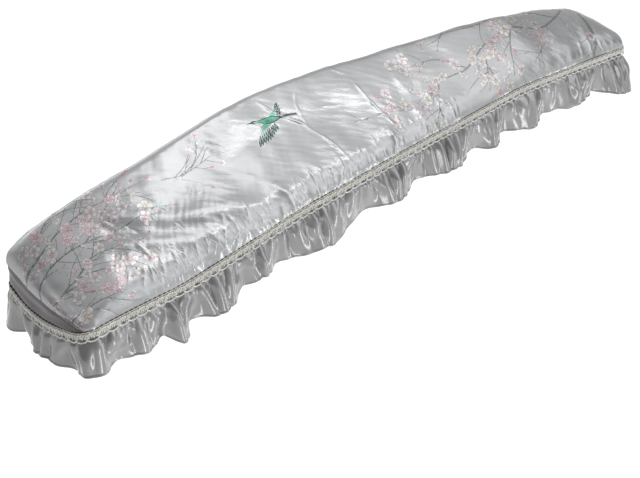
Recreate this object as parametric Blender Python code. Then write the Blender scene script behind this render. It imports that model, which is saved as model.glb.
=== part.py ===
# Guzheng dust cover: a fitted satin cover in the shape in which it hangs.
# The top panel is tented along a ridge and turned down all round, a plain band
# fills the drop of the narrow end, and a lace ribbon covers the seam where a
# gathered ruffle hangs from the panel.
# Metres, +Z up, +X towards the wide end, -Y towards the front.
# The origin is the underside of the top cloth at the middle of its length and width.

import math
import random

import bpy

# Plan of the cover at its seam
LENGTH = 1.65
TAIL_WIDTH = 0.281
HEAD_WIDTH = 0.354
CORNER_RADIUS = 0.028
TAIL_BOW = 0.012
TAIL_SKEW = 0.008
SKEW_RUN = 0.080

# Cloth
CLOTH = 0.0015
GAP = 0.0004
SEAM_GAP = 0.0006

# Half the width of the lace ribbon, which is centred on the seam
TRIM_HALF = 0.011

# Height of the origin over the lace's upper edge at the narrow end
SEAT_HEIGHT = 0.149

# Steps of the mesh round the outline
SIDE_STEPS = 43
END_STEPS = 12
CORNER_STEPS = 4

# Walls of the turned-down panel and of the band
WALL_LEAN = 0.05
BAND_LEAN = 0.12
LEAN_CHANGE = 0.020
EDGE_SPAN = 0.008
EDGE_ROUNDING = 0.010

# The top's height is a mean over its neighbourhood across the cover.
# Columns: place in half widths of that neighbourhood, share of the mean.
TOP_SMOOTHING = 0.022
MEAN_SHARES = (
    (-1.0, 1 / 9),
    (-0.5, 2 / 9),
    (0.0, 3 / 9),
    (0.5, 2 / 9),
    (1.0, 1 / 9),
)

# Ruffle, with heights over the seam
TAIL_DROP = 0.083
HEAD_DROP = 0.094
RUFFLE_MIDDLE = -0.045
FOLD_PITCH = 0.036
PITCH_SPREAD = 0.35
FOLD_SEED = 11
FOLD_TURN = (-1.0, 0.45, 1.0, 0.45)
SHALLOWEST_FOLD = 0.6
DEEPEST_FOLD = 1.2
GATHER_DEPTH = 0.0025
MIDDLE_DEPTH = 0.006
HEM_DEPTH = 0.005
MEAN_FLARE = 0.004
BELOW_LACE = 0.0012
BACK_EXTRA = 0.003
BACK_WAVES = 12
BACK_REACH = 0.015
BACK_SPREAD = 0.2

# Cross-sections of the top. Heights are over the lace's upper edge at the narrow end.
# Columns: x from the narrow end, height at the front edge, shoulder y and height,
# ridge y and height, height at the back edge.
TOP_SECTIONS = (
    (0.008, 0.018, -0.020, 0.042, 0.098, 0.078, 0.060),
    (0.030, 0.026, -0.020, 0.056, 0.098, 0.098, 0.068),
    (0.070, 0.034, -0.020, 0.070, 0.099, 0.113, 0.072),
    (0.130, 0.040, -0.020, 0.082, 0.101, 0.125, 0.074),
    (0.250, 0.050, -0.010, 0.098, 0.102, 0.141, 0.076),
    (0.380, 0.060, 0.000, 0.112, 0.101, 0.160, 0.078),
    (0.500, 0.064, 0.000, 0.123, 0.100, 0.179, 0.082),
    (0.600, 0.066, 0.000, 0.131, 0.098, 0.187, 0.086),
    (0.750, 0.068, -0.010, 0.139, 0.080, 0.186, 0.086),
    (0.910, 0.072, -0.040, 0.138, 0.048, 0.181, 0.080),
    (1.070, 0.078, -0.080, 0.132, 0.013, 0.178, 0.068),
    (1.200, 0.085, -0.100, 0.135, -0.010, 0.175, 0.058),
    (1.300, 0.082, -0.100, 0.134, -0.033, 0.169, 0.050),
    (1.450, 0.066, -0.100, 0.112, -0.035, 0.138, 0.036),
    (1.575, 0.058, -0.100, 0.086, -0.030, 0.101, 0.024),
    (1.620, 0.046, -0.100, 0.068, -0.020, 0.078, 0.020),
    (1.640, 0.034, -0.100, 0.052, -0.010, 0.060, 0.018),
)

# The lace's upper edge, pulled up where the top stands high.
# Columns: x from the narrow end, height at the front, height at the back.
SEAM_LINE = (
    (0.000, 0.005, 0.000),
    (0.060, 0.007, 0.002),
    (0.130, 0.006, 0.004),
    (0.220, 0.004, 0.012),
    (0.350, 0.015, 0.024),
    (0.510, 0.031, 0.036),
    (0.650, 0.036, 0.040),
    (0.830, 0.043, 0.034),
    (1.030, 0.046, 0.022),
    (1.200, 0.049, 0.012),
    (1.360, 0.037, 0.002),
    (1.480, 0.026, -0.002),
    (1.650, 0.008, -0.004),
)
TAIL_SAG = 0.014

# The crescent band under the panel at the narrow end.
# Columns: y from front to back, height of the band over the seam.
BAND_PROFILE = (
    (-0.142, 0.004),
    (-0.120, 0.018),
    (-0.090, 0.030),
    (-0.030, 0.047),
    (0.040, 0.057),
    (0.110, 0.060),
)
BAND_END = 0.105
BAND_MIN = 0.004

# Large waves of the hem, each side walked with the cover on the left.
# Columns: distance of the wave's start from the side's first corner, reach of its crest,
# how much lower the crest hangs.
FRONT_WAVES = (
    (0.050, 0.013, -0.002),
    (0.152, 0.016, 0.019),
    (0.213, 0.018, 0.004),
    (0.357, 0.010, -0.009),
    (0.425, 0.017, 0.008),
    (0.690, 0.017, 0.000),
    (0.850, 0.018, 0.000),
    (1.048, 0.015, 0.006),
    (1.140, 0.017, 0.005),
    (1.315, 0.012, 0.000),
    (1.508, 0.029, 0.010),
)
HEAD_WAVES = (
    (0.060, 0.014, 0.004),
    (0.170, 0.018, 0.004),
    (0.300, 0.014, 0.004),
)
TAIL_WAVES = (
    (-0.070, 0.019, 0.017),
    (0.054, 0.014, -0.018),
    (0.232, 0.013, -0.006),
)

SATIN = (0.52, 0.53, 0.54, 1.0)
SATIN_SHADE = (0.27, 0.26, 0.26, 1.0)
LACE = (0.62, 0.58, 0.50, 1.0)
SATIN_ROUGHNESS = 0.32
LACE_ROUGHNESS = 0.85


def clear_scene():
    for thing in list(bpy.data.objects):
        bpy.data.objects.remove(thing, do_unlink=True)


def make_material(name, color, roughness):
    material = bpy.data.materials.new(name)
    material.use_nodes = True
    shader = material.node_tree.nodes["Principled BSDF"]
    shader.inputs["Base Color"].default_value = color
    shader.inputs["Roughness"].default_value = roughness
    shader.inputs["Metallic"].default_value = 0.0
    return material


def along(table, x, column):
    """Reads a column of a table at x, as a smooth curve through its rows."""
    last = len(table) - 1
    if x <= table[0][0]:
        return table[0][column]
    if x >= table[last][0]:
        return table[last][column]
    row = max(index for index in range(last) if table[index][0] <= x)

    def slope(index):
        before = table[max(index - 1, 0)]
        after = table[min(index + 1, last)]
        return (after[column] - before[column]) / (after[0] - before[0])

    start, end = table[row], table[row + 1]
    span = end[0] - start[0]
    t = (x - start[0]) / span
    value = (2 * t**3 - 3 * t**2 + 1) * start[column]
    value += (t**3 - 2 * t**2 + t) * span * slope(row)
    value += (3 * t**2 - 2 * t**3) * end[column]
    value += (t**3 - t**2) * span * slope(row + 1)
    return value


def mix(start, end, t):
    return start + (end - start) * t


def half_width(x):
    return mix(TAIL_WIDTH, HEAD_WIDTH, x / LENGTH) / 2


def corner_arc(x, side, start, end):
    """One rounded corner of the plan, from one angle to the other."""
    y = side * (half_width(x) - CORNER_RADIUS)
    turns = [mix(start, end, k / CORNER_STEPS) for k in range(CORNER_STEPS + 1)]
    return [(x + CORNER_RADIUS * math.cos(turn), y + CORNER_RADIUS * math.sin(turn)) for turn in turns]


def shape_tail(x, y):
    """Bows the narrow end outward in the middle and skews it back a little."""
    side = y / half_width(0)
    fade = max(0.0, 1 - x / SKEW_RUN)
    bow = TAIL_BOW * max(0.0, 1 - side**2) * max(0.0, 1 - x / CORNER_RADIUS)
    return (x - bow - TAIL_SKEW * (1 + side) / 2 * fade, y)


def outline_points():
    """The plan's outline, anticlockwise from the middle of its first corner."""
    taper = math.atan((HEAD_WIDTH - TAIL_WIDTH) / (2 * LENGTH))
    quarter = math.pi / 2
    tail_x, head_x = CORNER_RADIUS, LENGTH - CORNER_RADIUS
    arcs = [
        corner_arc(tail_x, -1, 2 * quarter, 3 * quarter + taper),
        corner_arc(head_x, -1, -quarter + taper, 0.0),
        corner_arc(head_x, 1, 0.0, quarter - taper),
        corner_arc(tail_x, 1, quarter - taper, 2 * quarter),
    ]
    points = []
    for index, arc in enumerate(arcs):
        steps = END_STEPS if index % 2 else SIDE_STEPS
        start, end = arc[-1], arcs[(index + 1) % len(arcs)][0]
        points.extend(arc)
        for k in range(1, steps):
            t = k / steps
            points.append((mix(start[0], end[0], t), mix(start[1], end[1], t)))
    middle = CORNER_STEPS // 2
    points = points[middle:] + points[:middle]
    return [shape_tail(x, y) for x, y in points]


def outward_normals(points):
    """Normals of the outline at its points, lengthened at the corners."""
    normals = []
    count = len(points)
    for index, point in enumerate(points):
        before, after = points[index - 1], points[(index + 1) % count]
        sides = []
        for start, end in ((before, point), (point, after)):
            run = math.dist(start, end)
            sides.append(((end[1] - start[1]) / run, (start[0] - end[0]) / run))
        (ax, ay), (bx, by) = sides
        scale = 1 / (1 + ax * bx + ay * by)
        normals.append(((ax + bx) * scale, (ay + by) * scale))
    return normals


def seam_height(x, y):
    """Height of the seam, which is the middle of the lace."""
    share = min(1.0, max(0.0, (y / half_width(x) + 1) / 2))
    share = share * share * (3 - 2 * share)
    height = mix(along(SEAM_LINE, x, 1), along(SEAM_LINE, x, 2), share)
    sag = TAIL_SAG * max(0.0, 1 - (y / half_width(0)) ** 2) * max(0.0, 1 - x / CORNER_RADIUS)
    return height - sag - TRIM_HALF


def band_height(x, y):
    """Height of the crescent band over the seam, nought where there is none."""
    if x > BAND_END or (y < 0 and x > CORNER_RADIUS):
        return 0.0
    height = along(BAND_PROFILE, y, 1)
    fade = max(0.0, x - CORNER_RADIUS) / (BAND_END - CORNER_RADIUS)
    return mix(height, BAND_MIN, fade)


def top_height(x, y):
    """Height of the top cloth: three straight pulls across, softened where they meet."""
    edge = half_width(x) - EDGE_SPAN
    values = [along(TOP_SECTIONS, x, column) for column in range(1, 7)]
    front, shoulder_y, shoulder_z, ridge_y, ridge_z, back = values
    knots = [(-edge, front), (shoulder_y, shoulder_z), (ridge_y, ridge_z), (edge, back)]

    def straight(at):
        row = 0
        while row < 2 and at > knots[row + 1][0]:
            row += 1
        start, end = knots[row], knots[row + 1]
        return mix(start[1], end[1], (at - start[0]) / (end[0] - start[0]))

    return sum(share * straight(y + place * TOP_SMOOTHING) for place, share in MEAN_SHARES)


class Station:
    """One column of the outline: where the seam, the walls and the top's edge are."""

    def __init__(self, point, normal):
        self.x, self.y = point
        self.normal = normal
        self.seam = seam_height(*point)
        self.band = band_height(*point)
        self.lean = mix(WALL_LEAN, BAND_LEAN, min(1.0, self.band / LEAN_CHANGE))
        edge_x, edge_y, _ = self.at(0.0, -EDGE_SPAN)
        rise = top_height(edge_x, edge_y) - EDGE_ROUNDING - self.seam
        self.wall = self.at(rise)
        edge_x, edge_y, _ = self.at(rise, -EDGE_SPAN)
        self.edge = (edge_x, edge_y, top_height(edge_x, edge_y))

    def at(self, height, reach=0.0):
        """A point of the leaning wall at a height over the seam, moved outward by a reach."""
        move = reach - self.lean * height
        x = self.x + self.normal[0] * move
        y = self.y + self.normal[1] * move
        return (x, y, self.seam + height)


def make_object(name, points, faces, material, thickness):
    """Makes a sheet from one face of the cloth: a negative thickness grows inward."""
    mesh = bpy.data.meshes.new(name)
    placed = [(x - LENGTH / 2, y, z - SEAT_HEIGHT) for x, y, z in points]
    mesh.from_pydata(placed, [], faces)
    mesh.materials.append(material)
    mesh.shade_smooth()
    thing = bpy.data.objects.new(name, mesh)
    bpy.context.collection.objects.link(thing)
    solid = thing.modifiers.new("Cloth", "SOLIDIFY")
    solid.thickness = abs(thickness)
    solid.offset = math.copysign(1.0, thickness)
    solid.use_quality_normals = True
    return thing


def strip_faces(rows, columns, closed, first=0):
    """Faces between rows of points that run from the bottom up."""
    faces = []
    for row in range(rows - 1):
        for column in range(columns if closed else columns - 1):
            after = (column + 1) % columns
            low, high = first + row * columns, first + (row + 1) * columns
            faces.append((low + column, low + after, high + after, high + column))
    return faces


def make_top_panel(stations, material):
    """The turned-down walls as rings, and a grid of cloth across the top."""
    count = len(stations)
    points = [station.at(station.band) for station in stations]
    points += [station.wall for station in stations]
    points += [station.edge for station in stations]
    faces = strip_faces(3, count, True)

    long_steps = SIDE_STEPS + CORNER_STEPS
    end_steps = END_STEPS + CORNER_STEPS
    rim = 2 * count
    front = [rim + i for i in range(long_steps + 1)]
    head = [rim + long_steps + j for j in range(end_steps + 1)]
    back = [rim + long_steps + end_steps + long_steps - i for i in range(long_steps + 1)]
    tail = [rim + (count - j) % count for j in range(end_steps + 1)]
    grid = {}
    for i in range(long_steps + 1):
        grid[i, 0], grid[i, end_steps] = front[i], back[i]
    for j in range(end_steps + 1):
        grid[0, j], grid[long_steps, j] = tail[j], head[j]
    for i in range(1, long_steps):
        for j in range(1, end_steps):
            grid[i, j] = len(points)
            points.append(inner_point(points, front, back, tail, head, i, j))
    for i in range(long_steps):
        for j in range(end_steps):
            faces.append((grid[i, j], grid[i + 1, j], grid[i + 1, j + 1], grid[i, j + 1]))
    return make_object("top_panel", points, faces, material, -CLOTH)


def inner_point(points, front, back, tail, head, i, j):
    """A point of the top between its four edges, at the top's height there."""
    def share(edge, index):
        axis = 0 if edge in (front, back) else 1
        first, last = points[edge[0]][axis], points[edge[-1]][axis]
        return (points[edge[index]][axis] - first) / (last - first)

    u = (share(front, i) + share(back, i)) / 2
    v = (share(tail, j) + share(head, j)) / 2
    plan = []
    for axis in (0, 1):
        across = mix(points[front[i]][axis], points[back[i]][axis], v)
        lengthwise = mix(points[tail[j]][axis], points[head[j]][axis], u)
        near = mix(points[front[0]][axis], points[front[-1]][axis], u)
        far = mix(points[back[0]][axis], points[back[-1]][axis], u)
        plan.append(across + lengthwise - mix(near, far, v))
    return (plan[0], plan[1], top_height(*plan))


def make_tail_band(stations, material):
    """The crescent between the seam and the panel's edge, round the narrow end."""
    count = len(stations)
    first = next(k for k in range(count) if stations[k].band > 0 and stations[k - 1].band == 0)
    turned = stations[first:] + stations[:first]
    banded = [station for station in turned if station.band > 0]
    rows = []
    for share in (0.0, 1.0):
        rows += [station.at(share * (station.band - SEAM_GAP)) for station in banded]
    return make_object("tail_band", rows, strip_faces(2, len(banded), False), material, -CLOTH)


def make_lace_trim(stations, material):
    points = [station.at(-TRIM_HALF, GAP) for station in stations]
    points += [station.at(TRIM_HALF, GAP) for station in stations]
    return make_object("lace_trim", points, strip_faces(2, len(stations), True), material, CLOTH)


class Outline:
    """Measures distance along the seam and finds the points on it."""

    def __init__(self, stations):
        self.stations = stations
        self.marks = [0.0]
        for index, station in enumerate(stations):
            after = stations[(index + 1) % len(stations)]
            self.marks.append(self.marks[-1] + math.dist((station.x, station.y), (after.x, after.y)))
        self.length = self.marks[-1]

    def corner(self, number):
        long_steps = SIDE_STEPS + CORNER_STEPS
        end_steps = END_STEPS + CORNER_STEPS
        return self.marks[(0, long_steps, long_steps + end_steps, 2 * long_steps + end_steps)[number]]

    def point(self, distance, height, reach):
        distance %= self.length
        index = max(k for k in range(len(self.stations)) if self.marks[k] <= distance)
        t = (distance - self.marks[index]) / (self.marks[index + 1] - self.marks[index])
        start = self.stations[index]
        end = self.stations[(index + 1) % len(self.stations)]
        low, high = start.at(height, reach), end.at(height, reach)
        return tuple(mix(a, b, t) for a, b in zip(low, high))


def hem_waves(outline):
    """Start, reach and extra drop of the hem's large waves, once round the cover."""
    waves = [(outline.corner(0) + start, reach, extra) for start, reach, extra in FRONT_WAVES]
    waves += [(outline.corner(1) + start, reach, extra) for start, reach, extra in HEAD_WAVES]
    rng = random.Random(FOLD_SEED)
    run = (outline.corner(3) - outline.corner(2) + TAIL_WAVES[0][0]) / BACK_WAVES
    for number in range(1, BACK_WAVES):
        start = outline.corner(2) + run * (number + rng.uniform(-BACK_SPREAD, BACK_SPREAD))
        waves.append((start, BACK_REACH * rng.uniform(1 - BACK_SPREAD, 1 + BACK_SPREAD), BACK_EXTRA))
    waves += [(outline.corner(3) + start, reach, extra) for start, reach, extra in TAIL_WAVES]
    return waves


def wave_at(waves, distance, length):
    """How far the large wave here moves the hem outward and down."""
    ends = [wave[0] for wave in waves[1:]] + [waves[0][0] + length]
    if distance < waves[0][0]:
        distance += length
    for (start, reach, extra), end in zip(waves, ends):
        if distance < end:
            break
    crest = -math.cos(2 * math.pi * (distance - start) / (end - start))
    return reach * crest, extra * (1 + crest) / 2


def fold_columns(length):
    """Four columns to each gather, with uneven widths and depths."""
    rng = random.Random(FOLD_SEED)
    count = round(length / FOLD_PITCH)
    widths = [1 + rng.uniform(-PITCH_SPREAD, PITCH_SPREAD) for _ in range(count)]
    scale = length / sum(widths)
    columns = []
    start = 0.0
    for width in widths:
        depth = rng.uniform(SHALLOWEST_FOLD, DEEPEST_FOLD)
        for step, turn in enumerate(FOLD_TURN):
            columns.append((start + width * scale * step / len(FOLD_TURN), turn * depth))
        start += width * scale
    return columns


def make_ruffle(stations, material):
    """Gathers hang from the seam and open into the hem's large waves."""
    outline = Outline(stations)
    waves = hem_waves(outline)
    columns = fold_columns(outline.length)
    rows = {"hem": [], "middle": [], "under lace": [], "seam": []}
    for distance, fold in columns:
        wave, extra = wave_at(waves, distance, outline.length)
        flare = MEAN_FLARE + wave
        gather = GATHER_DEPTH * (fold - DEEPEST_FOLD)
        along_cover = outline.point(distance, 0.0, 0.0)[0] / LENGTH
        drop = mix(TAIL_DROP, HEAD_DROP, along_cover) + extra
        rows["hem"].append(outline.point(distance, -drop, flare + HEM_DEPTH * fold))
        rows["middle"].append(outline.point(distance, RUFFLE_MIDDLE, flare / 2 + MIDDLE_DEPTH * fold))
        rows["under lace"].append(outline.point(distance, -TRIM_HALF - BELOW_LACE, gather))
        rows["seam"].append(outline.point(distance, -SEAM_GAP, gather))
    points = sum(rows.values(), [])
    faces = strip_faces(len(rows), len(columns), True)
    return make_object("ruffle", points, faces, material, -CLOTH)


def build():
    clear_scene()
    satin = make_material("satin", SATIN, SATIN_ROUGHNESS)
    shade = make_material("plain satin", SATIN_SHADE, SATIN_ROUGHNESS)
    frill = make_material("ruffle satin", SATIN, SATIN_ROUGHNESS)
    lace = make_material("lace", LACE, LACE_ROUGHNESS)
    points = outline_points()
    stations = [Station(point, normal) for point, normal in zip(points, outward_normals(points))]
    make_top_panel(stations, satin)
    make_tail_band(stations, shade)
    make_lace_trim(stations, lace)
    make_ruffle(stations, frill)


build()
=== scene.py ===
import math
import random

import bpy
import numpy as np
from mathutils import Matrix, Vector
from mathutils.geometry import delaunay_2d_cdt
from mathutils.kdtree import KDTree


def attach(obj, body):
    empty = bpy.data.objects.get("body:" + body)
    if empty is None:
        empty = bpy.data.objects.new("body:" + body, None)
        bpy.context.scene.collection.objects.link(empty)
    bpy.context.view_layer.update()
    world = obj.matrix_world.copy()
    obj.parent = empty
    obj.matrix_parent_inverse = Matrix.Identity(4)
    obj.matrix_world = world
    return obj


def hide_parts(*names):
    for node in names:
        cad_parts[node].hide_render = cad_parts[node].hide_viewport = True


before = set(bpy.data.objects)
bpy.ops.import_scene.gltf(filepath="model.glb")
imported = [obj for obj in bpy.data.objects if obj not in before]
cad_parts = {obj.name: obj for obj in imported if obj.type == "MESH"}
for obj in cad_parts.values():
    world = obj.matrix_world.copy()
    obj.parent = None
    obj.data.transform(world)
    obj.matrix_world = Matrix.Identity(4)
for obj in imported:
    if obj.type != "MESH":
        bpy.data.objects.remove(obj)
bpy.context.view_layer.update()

# Sizes shared with the CAD
LENGTH = 1.65
TAIL_WIDTH = 0.281
HEAD_WIDTH = 0.354
CORNER_RADIUS = 0.028
TAIL_BOW = 0.012
TAIL_SKEW = 0.008
SKEW_RUN = 0.080
GAP = 0.0004
SEAM_GAP = 0.0006
TRIM_HALF = 0.011
SEAT_HEIGHT = 0.149
WALL_LEAN = 0.05
BAND_LEAN = 0.12
LEAN_CHANGE = 0.020
EDGE_SPAN = 0.008
TAIL_DROP = 0.083
HEAD_DROP = 0.094
FOLD_PITCH = 0.036
PITCH_SPREAD = 0.35
FOLD_SEED = 11
SHALLOWEST_FOLD = 0.6
DEEPEST_FOLD = 1.2
MEAN_FLARE = 0.004
BACK_EXTRA = 0.003
BACK_WAVES = 12
BACK_REACH = 0.015
BACK_SPREAD = 0.2
TAIL_SAG = 0.014
BAND_END = 0.105
BAND_MIN = 0.004

TOP_SECTIONS = (
    (0.008, 0.018, -0.020, 0.042, 0.098, 0.078, 0.060),
    (0.030, 0.026, -0.020, 0.056, 0.098, 0.098, 0.068),
    (0.070, 0.034, -0.020, 0.070, 0.099, 0.113, 0.072),
    (0.130, 0.040, -0.020, 0.082, 0.101, 0.125, 0.074),
    (0.250, 0.050, -0.010, 0.098, 0.102, 0.141, 0.076),
    (0.380, 0.060, 0.000, 0.112, 0.101, 0.160, 0.078),
    (0.500, 0.064, 0.000, 0.123, 0.100, 0.179, 0.082),
    (0.600, 0.066, 0.000, 0.131, 0.098, 0.187, 0.086),
    (0.750, 0.068, -0.010, 0.139, 0.080, 0.186, 0.086),
    (0.910, 0.072, -0.040, 0.138, 0.048, 0.181, 0.080),
    (1.070, 0.078, -0.080, 0.132, 0.013, 0.178, 0.068),
    (1.200, 0.085, -0.100, 0.135, -0.010, 0.175, 0.058),
    (1.300, 0.082, -0.100, 0.134, -0.033, 0.169, 0.050),
    (1.450, 0.066, -0.100, 0.112, -0.035, 0.138, 0.036),
    (1.575, 0.058, -0.100, 0.086, -0.030, 0.101, 0.024),
    (1.620, 0.046, -0.100, 0.068, -0.020, 0.078, 0.020),
    (1.640, 0.034, -0.100, 0.052, -0.010, 0.060, 0.018),
)
SEAM_LINE = (
    (0.000, 0.005, 0.000),
    (0.060, 0.007, 0.002),
    (0.130, 0.006, 0.004),
    (0.220, 0.004, 0.012),
    (0.350, 0.015, 0.024),
    (0.510, 0.031, 0.036),
    (0.650, 0.036, 0.040),
    (0.830, 0.043, 0.034),
    (1.030, 0.046, 0.022),
    (1.200, 0.049, 0.012),
    (1.360, 0.037, 0.002),
    (1.480, 0.026, -0.002),
    (1.650, 0.008, -0.004),
)
BAND_PROFILE = (
    (-0.142, 0.004),
    (-0.120, 0.018),
    (-0.090, 0.030),
    (-0.030, 0.047),
    (0.040, 0.057),
    (0.110, 0.060),
)
FRONT_WAVES = (
    (0.050, 0.013, -0.002),
    (0.152, 0.016, 0.019),
    (0.213, 0.018, 0.004),
    (0.357, 0.010, -0.009),
    (0.425, 0.017, 0.008),
    (0.690, 0.017, 0.000),
    (0.850, 0.018, 0.000),
    (1.048, 0.015, 0.006),
    (1.140, 0.017, 0.005),
    (1.315, 0.012, 0.000),
    (1.508, 0.029, 0.010),
)
HEAD_WAVES = (
    (0.060, 0.014, 0.004),
    (0.170, 0.018, 0.004),
    (0.300, 0.014, 0.004),
)
TAIL_WAVES = (
    (-0.070, 0.019, 0.017),
    (0.054, 0.014, -0.018),
    (0.232, 0.013, -0.006),
)

# Finer steps of the scene
SIDE_STEPS = 640
END_STEPS = 130
CORNER_STEPS = 24
TOP_SMOOTHING = 0.034
SMOOTHING_TAPS = 15
BAND_ROWS = 14
BAND_TUCK, BAND_LAP, BAND_INSET = 0.0016, 0.0006, 0.0004
# Strips along the front seam and behind the ridge, which part the flat panel's points into three zones.
FRONT_STRIP = 0.040
RIDGE_STRIP = 0.025
# Steps between the points of each zone, from the front to the back.
FINE_STEPS = (0.0031, 0.0044, 0.0070)
GRID_ENDS = 0.14
GRID_SIDES = (-0.30, 0.32)
BORDER_GAP = 0.0014
# Columns of the ruffle's mesh and rows of its body.
FINE_RUFFLE = (2050, 37)
# The panel's rolled lip: height from its edge and reach outward.
LIP = ((-0.0006, 0.0002), (-0.0009, -0.0004), (-0.0004, -0.0011), (0.0030, -0.0012))
BEND_RADIUS = 0.036
BEND_SHARE = 0.80
BEND_BLUR = 12
LEAN_BLUR = 8
FIRST_RISE = 0.05
CREST_ROUNDS = 5


def mix(start, end, t):
    return start + (end - start) * t


def smooth(t):
    t = np.clip(t, 0.0, 1.0)
    return t * t * (3 - 2 * t)


def bell(off, width):
    return np.exp(-(off / width) ** 2)


def waver(at, waves):
    """A sum of sines, each given by its size, its rate and its start."""
    return sum(size * np.sin(at * rate + start) for size, rate, start in waves)


def patch(size, flat, middle, spread):
    """A soft patch of the flat panel."""
    return size * bell(flat[:, 0] - middle[0], spread[0]) * bell(flat[:, 1] - middle[1], spread[1])


def unit(rows):
    """Rows of vectors, each at length one."""
    return rows / np.linalg.norm(rows, axis=1)[:, None]


def quarter_turn(rows):
    """Flat vectors turned a quarter to the left."""
    return np.stack([-rows[:, 1], rows[:, 0]], 1)


def along(table, x, column):
    """Reads a column of a table at x, as a smooth curve through its rows."""
    rows = np.array(table)
    xs, values = rows[:, 0], rows[:, column]
    last = len(xs) - 1
    x = np.clip(x, xs[0], xs[-1])
    row = np.clip(np.searchsorted(xs, x, side="right") - 1, 0, last - 1)
    before = np.maximum(np.arange(last + 1) - 1, 0)
    after = np.minimum(np.arange(last + 1) + 1, last)
    slopes = (values[after] - values[before]) / (xs[after] - xs[before])
    span = xs[row + 1] - xs[row]
    t = (x - xs[row]) / span
    value = (2 * t**3 - 3 * t**2 + 1) * values[row]
    value = value + (t**3 - 2 * t**2 + t) * span * slopes[row]
    value = value + (3 * t**2 - 2 * t**3) * values[row + 1]
    return value + (t**3 - t**2) * span * slopes[row + 1]


def half_width(x):
    return mix(TAIL_WIDTH, HEAD_WIDTH, x / LENGTH) / 2


def seam_height(x, y):
    share = smooth((y / half_width(x) + 1) / 2)
    height = mix(along(SEAM_LINE, x, 1), along(SEAM_LINE, x, 2), share)
    sag = np.maximum(0.0, 1 - (y / half_width(0)) ** 2) * np.maximum(0.0, 1 - x / CORNER_RADIUS)
    return height - TAIL_SAG * sag - TRIM_HALF


def band_height(x, y):
    fade = np.maximum(0.0, x - CORNER_RADIUS) / (BAND_END - CORNER_RADIUS)
    height = mix(along(BAND_PROFILE, y, 1), BAND_MIN, fade)
    return np.where((x > BAND_END) | ((y < 0) & (x > CORNER_RADIUS)), 0.0, height)


def top_height(x, y):
    """Height of the top cloth: three straight pulls across, softened where they meet."""
    edge = half_width(x) - EDGE_SPAN
    front, shoulder_y, shoulder, ridge_y, ridge, back = [along(TOP_SECTIONS, x, c) for c in range(1, 7)]
    places = np.linspace(-1.0, 1.0, SMOOTHING_TAPS)
    shares = 1 + np.cos(math.pi * places)
    total = 0.0
    for place, share in zip(places, shares / shares.sum()):
        at = y + place * TOP_SMOOTHING
        low = mix(front, shoulder, (at + edge) / (shoulder_y + edge))
        middle = mix(shoulder, ridge, (at - shoulder_y) / (ridge_y - shoulder_y))
        high = mix(ridge, back, (at - ridge_y) / (edge - ridge_y))
        total = total + share * np.where(at <= shoulder_y, low, np.where(at <= ridge_y, middle, high))
    return total


def outline_points():
    """The plan of the seam, anticlockwise from the middle of its first corner."""
    taper = math.atan((HEAD_WIDTH - TAIL_WIDTH) / (2 * LENGTH))
    quarter = math.pi / 2
    corners = (
        (CORNER_RADIUS, -1, 2 * quarter, 3 * quarter + taper),
        (LENGTH - CORNER_RADIUS, -1, -quarter + taper, 0.0),
        (LENGTH - CORNER_RADIUS, 1, 0.0, quarter - taper),
        (CORNER_RADIUS, 1, quarter - taper, 2 * quarter),
    )
    arcs = []
    for x, side, start, end in corners:
        turns = np.linspace(start, end, CORNER_STEPS + 1)
        y = side * (half_width(x) - CORNER_RADIUS)
        arcs.append(np.stack([x + CORNER_RADIUS * np.cos(turns), y + CORNER_RADIUS * np.sin(turns)], 1))
    points = []
    for index, arc in enumerate(arcs):
        steps = END_STEPS if index % 2 else SIDE_STEPS
        shares = (np.arange(1, steps) / steps)[:, None]
        points.append(arc)
        points.append(mix(arc[-1], arcs[(index + 1) % 4][0], shares))
    points = np.roll(np.concatenate(points), -(CORNER_STEPS // 2), axis=0)
    x, y = points.T
    side = y / half_width(0)
    bow = TAIL_BOW * np.maximum(0.0, 1 - side**2) * np.maximum(0.0, 1 - x / CORNER_RADIUS)
    skew = TAIL_SKEW * (1 + side) / 2 * np.maximum(0.0, 1 - x / SKEW_RUN)
    return np.stack([x - bow - skew, y], 1)


def outward(points):
    return -quarter_turn(unit(np.roll(points, -1, axis=0) - np.roll(points, 1, axis=0)))


def blurred(values, reach):
    """Softens values round the outline over a number of neighbours each way."""
    kernel = np.hanning(2 * reach + 1)
    kernel /= kernel.sum()
    padded = np.concatenate([values[-reach:], values, values[:reach]])
    return np.convolve(padded, kernel, mode="valid")


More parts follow.
